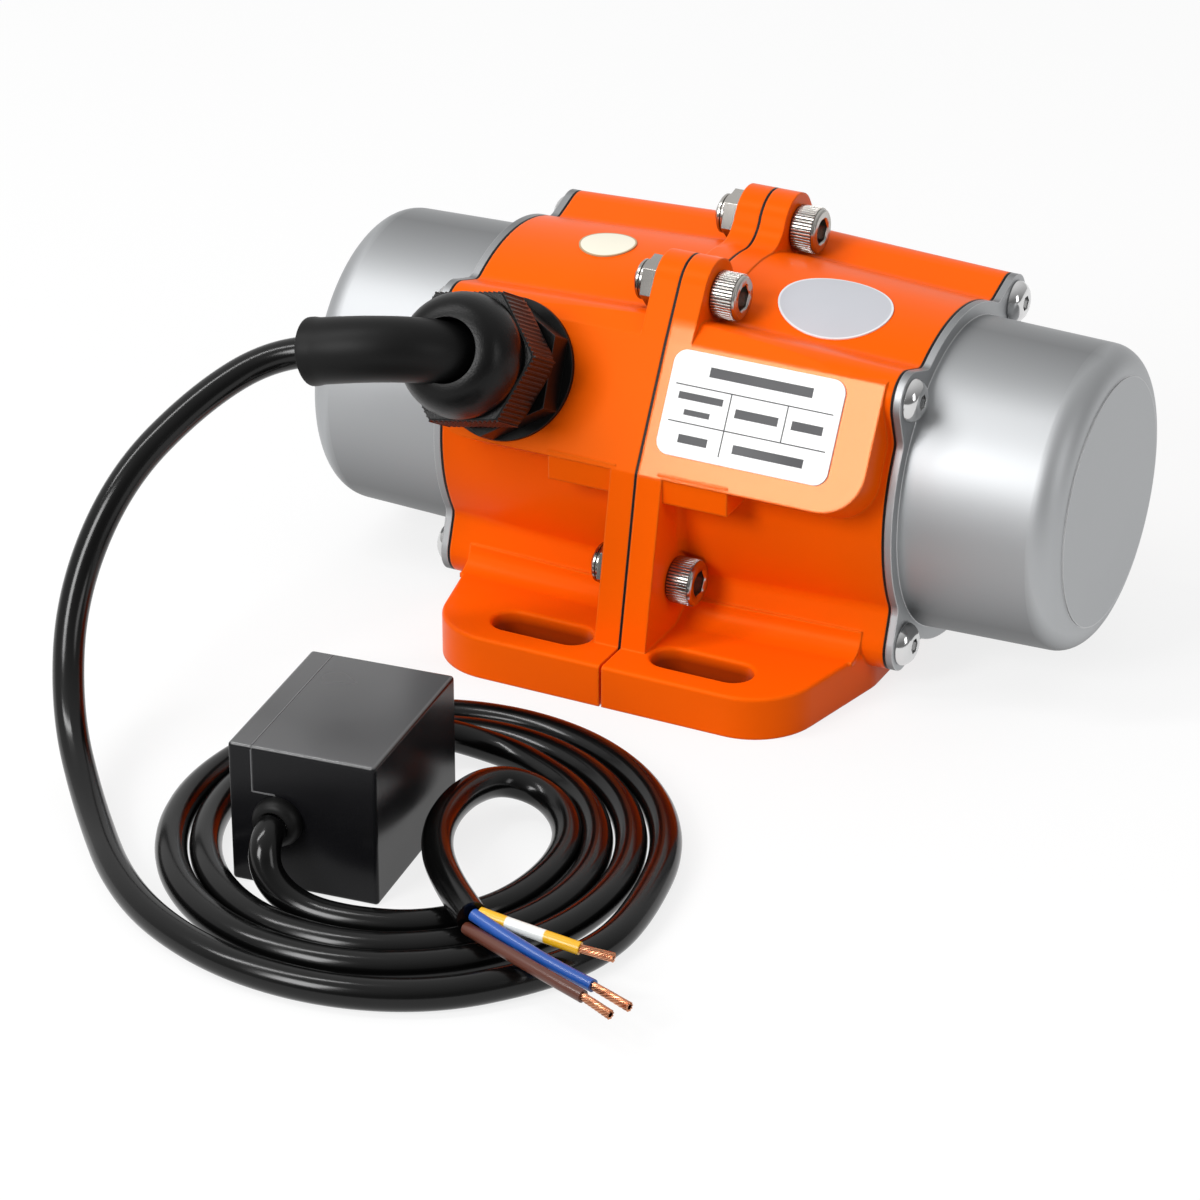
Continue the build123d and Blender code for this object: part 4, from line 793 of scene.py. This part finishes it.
def box_gloss_and_painted_top_light(tree):
    """Makes the box glossier on top, and paints light on its top to make it paler."""
    up = split_up(tree, surface(tree, "Normal"))["Z"]
    level = mapped(tree, up, *BOX_TOP_RANGE, BOX_SIDE_SPECULAR, BOX_TOP_SPECULAR)
    tree.links.new(level, tree.nodes["Principled BSDF"].inputs["Specular IOR Level"])
    # Painted light: the top is paler than the sides
    tinted(tree, mapped(tree, up, *BOX_TOP_RANGE), BOX_TOP_PAINTED_LIGHT_COLOUR)


def make_finishes():
    """Makes every finish, and adds what differs over one piece."""
    tones = bpy.context.scene.motor_colours
    added = {
        "orange_paint": painted_casting, "aluminium_cap": brushed_cap_and_painted_shade, "box_plastic": box_gloss_and_painted_top_light,
        "yellow_green_wire": banded_wire,
    }
    for slot, (name, colour, smoothest, roughest, options) in FINISHES.items():
        tone = getattr(tones, colour) if isinstance(colour, str) else colour
        material = finish_material(name, tone, smoothest, roughest, **options)
        material["record_slot"] = slot
        if slot in added:
            added[slot](material.node_tree)
        if slot in STICKERS:
            oval_sticker(material.node_tree, **STICKERS[slot])


def finish_of(slot):
    """The finish made for a slot."""
    return next(material for material in bpy.data.materials if material.get("record_slot") == slot)


def placed(name, data):
    """New object in the scene."""
    item = bpy.data.objects.new(name, data)
    bpy.context.scene.collection.objects.link(item)
    return item


def link_piece(name, data, slot, nodes=()):
    """Adds a mesh or a curve as a piece that rides on the housing and stands for solids."""
    piece = placed(name, data)
    if not data.materials:
        data.materials.append(finish_of(slot))
    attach(piece, HOUSING)
    if nodes:
        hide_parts(*nodes)
    return piece


def smooth_by_angle(mesh):
    """Smooth faces with sharp edges where the surface turns more."""
    mesh.shade_smooth()
    mesh.set_sharp_from_angle(angle=SHARP_ANGLE)


def joined_mesh(name, parts):
    """One mesh from several meshes with their places, in metres."""
    whole = bmesh.new()
    materials = []
    for mesh, place in parts:
        piece = mesh.copy()
        piece.transform(place)
        whole.from_mesh(piece)
        materials += [material for material in piece.materials if material not in materials]
        bpy.data.meshes.remove(piece)
    result = bpy.data.meshes.new(name)
    whole.to_mesh(result)
    whole.free()
    for material in materials:
        result.materials.append(material)
    smooth_by_angle(result)
    return result


def finished_mesh(name, form, *slots):
    """Mesh of a form with its normals outward and the finishes of some slots."""
    bmesh.ops.recalc_face_normals(form, faces=form.faces)
    mesh = bpy.data.meshes.new(name)
    form.to_mesh(mesh)
    form.free()
    for slot in slots:
        mesh.materials.append(finish_of(slot))
    return mesh


def skin(form, rows, closed=False, shaded=()):
    """Faces between rows of vertices, which end in flat faces or run round into the first row.

    The bands whose numbers are in shaded get the second finish, a dark one that paints shade into them.
    """
    pairs = list(zip(rows, rows[1:]))
    if closed:
        pairs.append((rows[-1], rows[0]))
    for band, (low, high) in enumerate(pairs):
        for step in range(len(low)):
            after = (step + 1) % len(low)
            face = form.faces.new((low[step], low[after], high[after], high[step]))
            face.material_index = int(band in shaded)
    if not closed:
        form.faces.new(reversed(rows[0]))
        form.faces.new(rows[-1])


def block(form, low, high, place):
    """Adds a box between two opposite corners; a function gives the place of each corner."""
    (x_low, y_low, z_low), (x_high, y_high, z_high) = low, high
    corners = ((x_low, y_low), (x_high, y_low), (x_high, y_high), (x_low, y_high))
    skin(form, [[form.verts.new(mm(place(x, y, z))) for x, y in corners] for z in (z_low, z_high)])


def outline_radius(kind, size, reach, turn):
    """Distance from the axis of a round or a hexagonal outline, its corners cut at a reach."""
    if kind == "round":
        return size
    return min(size / cos(turn % (pi / 3) - pi / 6), reach)


def turned_mesh(name, outlines, slot, segments=48, closed=False, shaded=()):
    """Mesh through outlines (kind, size, reach, height), in millimetres along Z."""
    form = bmesh.new()
    turns = [tau * step / segments for step in range(segments)]
    rows = []
    for kind, size, reach, height in outlines:
        spokes = [(outline_radius(kind, size, reach, turn), turn) for turn in turns]
        rows.append([form.verts.new(mm((far * cos(turn), far * sin(turn), height))) for far, turn in spokes])
    skin(form, rows, closed, shaded)
    slots = (slot, "groove_shade") if shaded else (slot,)
    mesh = finished_mesh(name, form, *slots)
    smooth_by_angle(mesh)
    return mesh


def tube_mesh(name, line, radii, slot):
    """Closed tube along a line with a radius in metres at each point."""
    form = bmesh.new()
    turns = [tau * step / TUBE_SEGMENTS for step in range(TUBE_SEGMENTS)]
    side = None
    rows = []
    for number, (spot, radius) in enumerate(zip(line, radii)):
        before = line[max(number - 1, 0)]
        after = line[min(number + 1, len(line) - 1)]
        ahead = (after - before).normalized()
        side = side or ahead.orthogonal()
        side = (side - ahead * ahead.dot(side)).normalized()
        other = ahead.cross(side)
        rows.append([form.verts.new(spot + (side * cos(t) + other * sin(t)) * radius) for t in turns])
    skin(form, rows)
    mesh = finished_mesh(name, form, slot)
    smooth_by_angle(mesh)
    return mesh


def close_tree(tree, start, end, copies):
    """Ends a tree in real geometry with its material."""
    real = tree.nodes.new("GeometryNodeRealizeInstances")
    paint = tree.nodes.new("GeometryNodeSetMaterial")
    join(
        tree, (copies, "Instances", real, "Geometry"), (real, "Geometry", paint, "Geometry"),
        (start, "Finish", paint, "Material"), (paint, "Geometry", end, "Geometry")
    )


def ridge_tree():
    """Ridges spaced evenly round a ring or a polygon, standing along Z."""
    tree, start, end = node_group("ridges round a ring", "GeometryNodeTree", {
        "Sides": "Int", "Ring radius": "Float", "Ridges": "Int", "Width": "Float", "Height": "Float",
        "Length": "Float", "Finish": "Material",
    }, {"Geometry": "Geometry"})
    nodes = tree.nodes
    ring = nodes.new("GeometryNodeMeshCircle")
    line = nodes.new("GeometryNodeMeshToCurve")
    spaced = nodes.new("GeometryNodeResampleCurve")
    ridge = nodes.new("GeometryNodeMeshCube")
    size = nodes.new("ShaderNodeCombineXYZ")
    along = nodes.new("GeometryNodeInputTangent")
    turn = nodes.new("FunctionNodeAlignRotationToVector")
    turn.axis = "X"
    copies = nodes.new("GeometryNodeInstanceOnPoints")
    join(
        tree, (start, "Sides", ring, "Vertices"), (start, "Ring radius", ring, "Radius"),
        (ring, "Mesh", line, "Mesh"), (line, "Curve", spaced, "Curve"), (start, "Ridges", spaced, "Count"),
        (start, "Width", size, "X"), (start, "Height", size, "Y"), (start, "Length", size, "Z"),
        (size, "Vector", ridge, "Size"), (along, "Tangent", turn, "Vector"),
        (spaced, "Curve", copies, "Points"), (ridge, "Mesh", copies, "Instance"),
        (turn, "Rotation", copies, "Rotation")
    )
    close_tree(tree, start, end, copies)
    return tree


def strand_tree():
    """Twisted strands that start together and open a little toward the tip, along Z."""
    tree, start, end = node_group("twisted strands", "GeometryNodeTree", {
        "Strands": "Int", "Turns": "Float", "Root radius": "Float", "Tip radius": "Float", "Length": "Float",
        "Thickness": "Float", "Finish": "Material",
    }, {"Geometry": "Geometry"})
    nodes = tree.nodes
    twist = nodes.new("GeometryNodeCurveSpiral")
    twist.inputs["Resolution"].default_value = STRAND_STEPS
    profile = nodes.new("GeometryNodeCurvePrimitiveCircle")
    profile.inputs["Resolution"].default_value = STRAND_SIDES
    wire = nodes.new("GeometryNodeCurveToMesh")
    wire.inputs["Fill Caps"].default_value = True
    spots = nodes.new("GeometryNodeMeshLine")
    spots.inputs["Offset"].default_value = (0, 0, 0)
    index = nodes.new("GeometryNodeInputIndex").outputs["Index"]
    share = calculated(tree, "DIVIDE", index, start.outputs["Strands"])
    turn = nodes.new("ShaderNodeCombineXYZ")
    tree.links.new(calculated(tree, "MULTIPLY", share, tau), turn.inputs["Z"])
    copies = nodes.new("GeometryNodeInstanceOnPoints")
    join(
        tree, (start, "Turns", twist, "Rotations"), (start, "Root radius", twist, "Start Radius"),
        (start, "Tip radius", twist, "End Radius"), (start, "Length", twist, "Height"),
        (start, "Thickness", profile, "Radius"), (twist, "Curve", wire, "Curve"),
        (profile, "Curve", wire, "Profile Curve"), (start, "Strands", spots, "Count"),
        (spots, "Mesh", copies, "Points"), (wire, "Mesh", copies, "Instance"),
        (turn, "Vector", copies, "Rotation")
    )
    close_tree(tree, start, end, copies)
    return tree


def evaluated_mesh(holder):
    """Mesh that an object shows once its modifier or its curve is worked out; the object goes."""
    bpy.context.view_layer.update()
    depsgraph = bpy.context.evaluated_depsgraph_get()
    mesh = bpy.data.meshes.new_from_object(holder.evaluated_get(depsgraph), depsgraph=depsgraph)
    bpy.data.objects.remove(holder)
    return mesh


def grown_mesh(name, maker, slot, **values):
    """Mesh of a geometry tree with the given inputs and the finish of a slot."""
    tree = maker()
    values["Finish"] = finish_of(slot)
    holder = placed(name, bpy.data.meshes.new(name))
    modifier = holder.modifiers.new(name, "NODES")
    modifier.node_group = tree
    for item in tree.interface.items_tree:
        if item.in_out == "INPUT":
            modifier[item.identifier] = values[item.name.replace(" ", "_")]
    mesh = evaluated_mesh(holder)
    mesh.materials.clear()
    mesh.materials.append(values["Finish"])
    mesh.polygons.foreach_set("material_index", [0] * len(mesh.polygons))
    bpy.data.node_groups.remove(tree)
    return mesh


def ridges(name, slot, sides, ring, count, size):
    """Mesh of ridges round a ring; its radius and their size are in millimetres."""
    width, height, length = mm(size)
    return grown_mesh(
        name, ridge_tree, slot, Sides=sides, Ring_radius=ring * MM, Ridges=count, Width=width, Height=height,
        Length=length
    )


def smooth_curve(name, points, resolution):
    """Curve through control points in millimetres."""
    data = bpy.data.curves.new(name, "CURVE")
    data.dimensions = "3D"
    data.resolution_u = resolution
    spline = data.splines.new("NURBS")
    spline.points.add(len(points) - 1)
    for control, point in zip(spline.points, points):
        control.co = (*mm(point), 1)
    spline.order_u = 3
    spline.use_endpoint_u = True
    return data


def cable_curve(name, points, diameter, slot, nodes):
    """Smooth cable through control points in millimetres, as a curve piece."""
    data = smooth_curve(name, points, CABLE_RESOLUTION)
    data.bevel_depth = diameter / 2
    data.bevel_resolution = CABLE_ROUNDNESS
    data.use_fill_caps = True
    return link_piece(name, data, slot, nodes)


def curve_line(points):
    """Points in metres along the smooth curve of some control points in millimetres."""
    data = smooth_curve("guide line", points, GUIDE_RESOLUTION)
    mesh = evaluated_mesh(placed("guide line", data))
    line = [vertex.co.copy() for vertex in mesh.vertices]
    bpy.data.curves.remove(data)
    bpy.data.meshes.remove(mesh)
    return line


class MOTOR_OT_finishes(bpy.types.Operator):
    """Give every solid its procedural finish"""

    bl_idname = "motor.finishes"
    bl_label = "Finishes"

    def execute(self, context):
        make_finishes()
        for entry in frame["record"]["subparts"]:
            materials = NODES[entry["node"]].data.materials
            materials.clear()
            materials.append(finish_of(entry["material_slot"]))
        return {"FINISHED"}


class MOTOR_OT_flange_screws(bpy.types.Operator):
    """Socket head screws with knurled heads through the clamp flange"""

    bl_idname = "motor.flange_screws"
    bl_label = "Flange screws"

    def execute(self, context):
        slot = "zinc_bolts"
        # The side of the head between the knurls gets painted shade
        head_side = SCREW_PROFILE.index(SCREW_HEAD_SIDE[0])
        screw = turned_mesh("flange screw", SCREW_PROFILE, slot, shaded=(head_side,))
        count = context.scene.motor_sizes.knurl_count
        knurls = ridges("knurls", slot, KNURL_RING_SIDES, KNURL_RING, count, KNURL_SIZE)
        parts = []
        for y, z in FLANGE_BOLT_SPOTS:
            place = toward((0, y, z), (1, 0, 0))
            parts.append((screw, place))
            parts.append((knurls, place @ Matrix.Translation((0, 0, KNURL_MIDDLE * MM))))
        link_piece("flange_screws", joined_mesh("flange_screws", parts), slot, ["flange_bolts"])
        return {"FINISHED"}


class MOTOR_OT_flange_nuts(bpy.types.Operator):
    """Lock nuts on the left side of the flange"""

    bl_idname = "motor.flange_nuts"
    bl_label = "Flange nuts"

    def execute(self, context):
        slot = "zinc_bolts"
        # The nut's groove gets painted shade
        groove = NUT_PROFILE.index(NUT_GROOVE[0])
        nut = turned_mesh("lock nut", NUT_PROFILE, slot, closed=True, shaded=(groove,))
        turned = Matrix.Rotation(NUT_TURN, 4, "Z")
        places = [toward((-FLANGE_FACE, y, z), (-1, 0, 0)) @ turned for y, z in FLANGE_BOLT_SPOTS]
        mesh = joined_mesh("lock_nuts", [(nut, place) for place in places])
        link_piece("lock_nuts", mesh, slot, ["flange_nuts"])
        return {"FINISHED"}


class MOTOR_OT_cap_screws(bpy.types.Operator):
    """Button head screws of both end caps"""

    bl_idname = "motor.cap_screws"
    bl_label = "End cap screws"

    def execute(self, context):
        slot = "bright_screws"
        screw = turned_mesh("button screw", BUTTON_PROFILE, slot)
        for side, node in ((1, "end_cap_screws_right"), (-1, "end_cap_screws_left")):
            places = [toward((side * CAP_FACE, y, z), (side, 0, 0)) for y, z in CAP_SCREW_SPOTS]
            mesh = joined_mesh(node + "_turned", [(screw, place) for place in places])
            link_piece(node + "_turned", mesh, slot, [node])
        return {"FINISHED"}


class MOTOR_OT_gland(bpy.types.Operator):
    """Dome nut with its ribs, and the sleeve that leaves it"""

    bl_idname = "motor.gland"
    bl_label = "Cable gland"

    def execute(self, context):
        slot = "black_plastic"
        place = toward(pad_point(GLAND_X, 0, 0), PAD_NORMAL) @ Matrix.Rotation(DOME_TURN, 4, "Z")
        nut = turned_mesh("dome nut", DOME_PROFILE, slot, segments=DOME_SEGMENTS, closed=True)
        count = context.scene.motor_sizes.rib_count
        ribs = ridges("gland ribs", slot, RIB_RING_SIDES, RIB_RING, count, RIB_SIZE)
        parts = [(nut, place), (ribs, place @ Matrix.Translation((0, 0, RIB_MIDDLE * MM)))]
        link_piece("gland_dome", joined_mesh("gland_dome", parts), slot, ["gland_dome_nut"])
        self.make_sleeve()
        return {"FINISHED"}

    def make_sleeve(self):
        """Moulded sleeve that widens toward a lip at its end."""
        starts = [pad_point(GLAND_X, 0, out) for out in (SLEEVE_START, SLEEVE_BEND)]
        line = curve_line(starts + [SLEEVE_END])
        walked = [0.0]
        for before, after in zip(line, line[1:]):
            walked.append(walked[-1] + (after - before).length)
        total = walked[-1]
        radii = []
        for distance in walked:
            lip = SLEEVE_LIP_RISE if total - distance < SLEEVE_LIP * MM else 0.0
            radii.append((SLEEVE_RADIUS + SLEEVE_GROWTH * distance / total + lip) * MM)
        ahead = (line[-1] - line[-2]).normalized()
        line += [line[-1] + ahead * forward * MM for forward, _ in SLEEVE_MOUTH]
        radii += [radius * MM for _, radius in SLEEVE_MOUTH]
        mesh = tube_mesh("sleeve", line, radii, "black_rubber")
        link_piece("sleeve", mesh, "black_rubber", ["cable_sleeve"])


class MOTOR_OT_plate_print(bpy.types.Operator):
    """Ruled lines and plain bars on the plate"""

    bl_idname = "motor.plate_print"
    bl_label = "Plate print"

    def execute(self, context):
        form = bmesh.new()
        for left, right, low, high in self.rules() + self.bars():
            block(form, (left, low, PLATE_INK_BACK), (right, high, PLATE_INK_FRONT), pad_point)
        link_piece("plate_print", finished_mesh("plate_print", form, "plate_ink"), "pale_plate")
        return {"FINISHED"}

    def rules(self):
        """Left, right, low and high edge of each ruled line."""
        half = PLATE_RULE_HALF
        ends = (PLATE_LEFT + PLATE_MARGIN, PLATE_RIGHT - PLATE_MARGIN)
        upper, lower = [PLATE_HIGH - share * PLATE_HEIGHT for share in PLATE_RULE_ROWS]
        first, second = [PLATE_LEFT + share * PLATE_WIDTH for share in PLATE_RULE_COLUMNS]
        return [
            (*ends, upper - half, upper + half),
            (*ends, lower - half, lower + half),
            (first - half, first + half, PLATE_LOW + PLATE_MARGIN, upper),
            (second - half, second + half, lower, upper),
        ]

    def bars(self):
        """Left, right, low and high edge of each plain bar."""
        edges = []
        for start, stop, row, thick in PLATE_BARS:
            middle = PLATE_HIGH - row * PLATE_HEIGHT
            ends = [PLATE_LEFT + share * PLATE_WIDTH for share in (start, stop)]
            edges.append((*ends, middle - thick / 2, middle + thick / 2))
        return edges


class MOTOR_OT_grommets(bpy.types.Operator):
    """Domed rubber grommets of the capacitor box"""

    bl_idname = "motor.grommets"
    bl_label = "Grommets"

    def execute(self, context):
        slot = "black_rubber"
        spots = (
            ("grommet_front", front_hole(), -BOX_DEEP, GROMMET_FRONT_BORE),
            ("grommet_rear", rear_hole(), BOX_DEEP, GROMMET_REAR_BORE),
        )
        for node, spot, outward, bore in spots:
            outlines = GROMMET_PROFILE + rings((bore, GROMMET_LENGTH), (bore, -GROMMET_DEPTH))
            mesh = turned_mesh(node + "_collar", outlines, slot, closed=True)
            mesh.transform(toward(spot, outward))
            link_piece(node + "_collar", mesh, slot, [node])
        return {"FINISHED"}


class MOTOR_OT_box_seam(bpy.types.Operator):
    """Strip along the joint between the box and its lid, pale to paint the highlight of the joint"""

    bl_idname = "motor.box_seam"
    bl_label = "Box seam"

    def execute(self, context):
        edge = SEAM_LID - SEAM_WIDTH
        back = BOX_DEPTH - SEAM_INSET
        runs = (
            ((edge, SEAM_INSET, BOX_TOP - SEAM_PROUD), (SEAM_LID, back, BOX_TOP + SEAM_PROUD)),
            ((edge, -SEAM_PROUD, SEAM_LOW), (SEAM_LID, SEAM_PROUD, BOX_TOP - SEAM_INSET)),
            ((SEAM_LID, -SEAM_PROUD, SEAM_LOW), (SEAM_STEP, SEAM_PROUD, SEAM_LOW + SEAM_WIDTH)),
        )
        form = bmesh.new()
        for low, high in runs:
            block(form, low, high, box_point)
        # The strip's pale finish paints the highlight of the joint
        link_piece("box_seam", finished_mesh("box_seam", form, "seam_lip"), "box_plastic")
        return {"FINISHED"}


class MOTOR_OT_motor_lead(bpy.types.Operator):
    """Lead from the gland through its coil to the capacitor box"""

    bl_idname = "motor.motor_lead"
    bl_label = "Motor lead"

    def execute(self, context):
        coil = [coil_point(number) for number in range(COIL_POINTS)]
        points = [SLEEVE_END, *LEAD_ROUTE, *coil, *TAIL_ROUTE, rear_hole(GROMMET_LENGTH)]
        diameter = context.scene.motor_sizes.lead_diameter
        nodes = ["motor_lead", "motor_lead_coil", "motor_lead_tail"]
        lead = cable_curve("motor_lead_sheath", points, diameter, "black_cable", nodes)
        return {"FINISHED"}


class MOTOR_OT_mains_lead(bpy.types.Operator):
    """Mains lead with its loop, its three wires and their bare strands"""

    bl_idname = "motor.mains_lead"
    bl_label = "Mains lead"

    def execute(self, context):
        sizes = context.scene.motor_sizes
        start = front_hole(GROMMET_LENGTH)
        points = [start, *MAINS_ROUTE]
        lead = cable_curve("mains_lead_sheath", points, sizes.mains_diameter, "black_cable", ["mains_lead"])
        bundles = []
        for node, wire in WIRES.items():
            route = wire["route"]
            cable_curve(node + "_cover", route, sizes.wire_diameter, wire["slot"], [node])
            run = Vector(wire["tip"]) - Vector(route[-1])
            bundles.append((self.strands(sizes.strand_count, run.length), toward(route[-1], run)))
        mesh = joined_mesh("bare_strands", bundles)
        link_piece("bare_strands", mesh, "copper_strand", ["wire_strands"])
        return {"FINISHED"}

    def strands(self, count, length):
        """Bare strands of one wire, with a length in millimetres."""
        return grown_mesh(
            "strands", strand_tree, "copper_strand", Strands=count, Turns=STRAND_TWIST,
            Root_radius=STRAND_ROOT_RING * MM, Tip_radius=STRAND_TIP_RING * MM, Length=length * MM,
            Thickness=STRAND_RADIUS * MM
        )


def camera_back(studio):
    """Direction from the aim to the camera."""
    level = cos(studio.elevation)
    return Vector((sin(studio.azimuth) * level, -cos(studio.azimuth) * level, sin(studio.elevation)))


def camera_spot(studio):
    """Place of the camera, in metres."""
    return Vector(studio.aim) + camera_back(studio) * studio.distance


class MOTOR_OT_studio(bpy.types.Operator):
    """Floor, world, lamps and camera"""

    bl_idname = "motor.studio"
    bl_label = "Studio"

    def execute(self, context):
        self.make_floor()
        self.make_world(context.scene)
        self.make_lamps(context.scene.motor_studio)
        self.make_camera(context.scene)
        return {"FINISHED"}

    def make_floor(self):
        """Wide pale floor that keeps a soft shadow."""
        form = bmesh.new()
        bmesh.ops.create_grid(form, x_segments=2, y_segments=2, size=FLOOR_HALF_SIZE)
        mesh = bpy.data.meshes.new("studio_floor")
        form.to_mesh(mesh)
        form.free()
        mesh.materials.append(self.floor_material())
        placed("studio_floor", mesh)

    def floor_material(self):
        """Matt floor that glows where the camera, a reflection or a clear piece shows it."""
        material = bpy.data.materials.new("studio floor")
        material.use_nodes = True
        tree = material.node_tree
        shader = tree.nodes["Principled BSDF"]
        shader.inputs["Roughness"].default_value = FLOOR_ROUGHNESS
        shader.inputs["Specular IOR Level"].default_value = 0.0
        glow = tree.nodes.new("ShaderNodeEmission")
        path = tree.nodes.new("ShaderNodeLightPath")
        shown = calculated(tree, "MAXIMUM", path.outputs["Is Camera Ray"], path.outputs["Is Glossy Ray"])
        seen = calculated(tree, "MAXIMUM", shown, path.outputs["Is Transmission Ray"])
        tree.links.new(mixed_colour(tree, seen, FLOOR_UNSEEN, FLOOR_SEEN), shader.inputs["Base Color"])
        mix = tree.nodes.new("ShaderNodeMixShader")
        tree.links.new(calculated(tree, "MULTIPLY", seen, FLOOR_GLOW), mix.inputs["Fac"])
        join(
            tree, (shader, "BSDF", mix, 1), (glow, "Emission", mix, 2),
            (mix, "Shader", tree.nodes["Material Output"], "Surface")
        )
        return material

    def make_world(self, scene):
        """Surroundings that are bright above and behind, and dim toward the camera."""
        world = bpy.data.worlds.new("studio")
        scene.world = world
        world.use_nodes = True
        tree = world.node_tree
        light = tree.nodes["Background"]
        light.inputs["Color"].default_value = (1, 1, 1, 1)
        toward_light = dotted(tree, surface(tree, "Generated"), BRIGHT_DIRECTION.normalized())
        ambient = scene.motor_studio.ambient
        level = mapped(tree, toward_light, *BRIGHT_RANGE, DIM_SHARE * ambient, BRIGHT_SHARE * ambient)
        tree.links.new(level, light.inputs["Strength"])

    def make_lamps(self, studio):
        """Key lamp that the right pad mirrors, a strip above and a lamp at the side."""
        spot = mm(pad_point(*KEY_MIRROR))
        view = (spot - camera_spot(studio)).normalized()
        mirrored = view - 2 * view.dot(PAD_NORMAL) * PAD_NORMAL
        lamps = (
            ("key lamp", spot + mirrored * KEY_DISTANCE + KEY_SHIFT, KEY_SIZE, studio.key),
            ("strip lamp", STRIP_PLACE, STRIP_SIZE, studio.strip),
            ("side lamp", SIDE_PLACE, SIDE_SIZE, studio.fill),
        )
        for name, place, size, power in lamps:
            data = bpy.data.lights.new(name, "AREA")
            data.shape = "RECTANGLE"
            data.energy = power
            data.size, data.size_y = size
            turn = (LAMP_AIM - place).to_track_quat("-Z", "Y").to_matrix().to_4x4()
            placed(name, data).matrix_world = Matrix.Translation(place) @ turn

    def make_camera(self, scene):
        """Camera at the photograph's viewing angle."""
        studio = scene.motor_studio
        data = bpy.data.cameras.new("camera")
        data.sensor_width = SENSOR_WIDTH
        data.lens = studio.lens
        data.clip_end = CAMERA_REACH
        camera = placed("camera", data)
        turn = camera_back(studio).to_track_quat("Z", "Y").to_matrix().to_4x4()
        camera.matrix_world = Matrix.Translation(camera_spot(studio)) @ turn
        scene.camera = camera
        scene.view_settings.view_transform = "Standard"


OPERATORS = (
    MOTOR_OT_finishes,
    MOTOR_OT_flange_screws,
    MOTOR_OT_flange_nuts,
    MOTOR_OT_cap_screws,
    MOTOR_OT_gland,
    MOTOR_OT_plate_print,
    MOTOR_OT_grommets,
    MOTOR_OT_box_seam,
    MOTOR_OT_motor_lead,
    MOTOR_OT_mains_lead,
    MOTOR_OT_studio,
)


class MOTOR_PT_panel(bpy.types.Panel):
    """Buttons for the pieces and the studio, with their settings"""

    bl_label = "Vibration motor"
    bl_idname = "MOTOR_PT_panel"
    bl_space_type = "VIEW_3D"
    bl_region_type = "UI"
    bl_category = "Vibration motor"

    def draw(self, context):
        for operator in OPERATORS:
            self.layout.operator(operator.bl_idname)
        for group in (context.scene.motor_colours, context.scene.motor_sizes, context.scene.motor_studio):
            column = self.layout.column()
            for name in group.__annotations__:
                column.prop(group, name)


CLASSES = (Colours, Sizes, Studio, *OPERATORS, MOTOR_PT_panel)


def register():
    for item in CLASSES:
        bpy.utils.register_class(item)
    bpy.types.Scene.motor_colours = bpy.props.PointerProperty(type=Colours)
    bpy.types.Scene.motor_sizes = bpy.props.PointerProperty(type=Sizes)
    bpy.types.Scene.motor_studio = bpy.props.PointerProperty(type=Studio)


def unregister():
    del bpy.types.Scene.motor_studio
    del bpy.types.Scene.motor_sizes
    del bpy.types.Scene.motor_colours
    for item in reversed(CLASSES):
        bpy.utils.unregister_class(item)


def main():
    register()
    for operator in OPERATORS:
        group, name = operator.bl_idname.split(".")
        getattr(getattr(bpy.ops, group), name)()


if __name__ == "__main__":
    main()
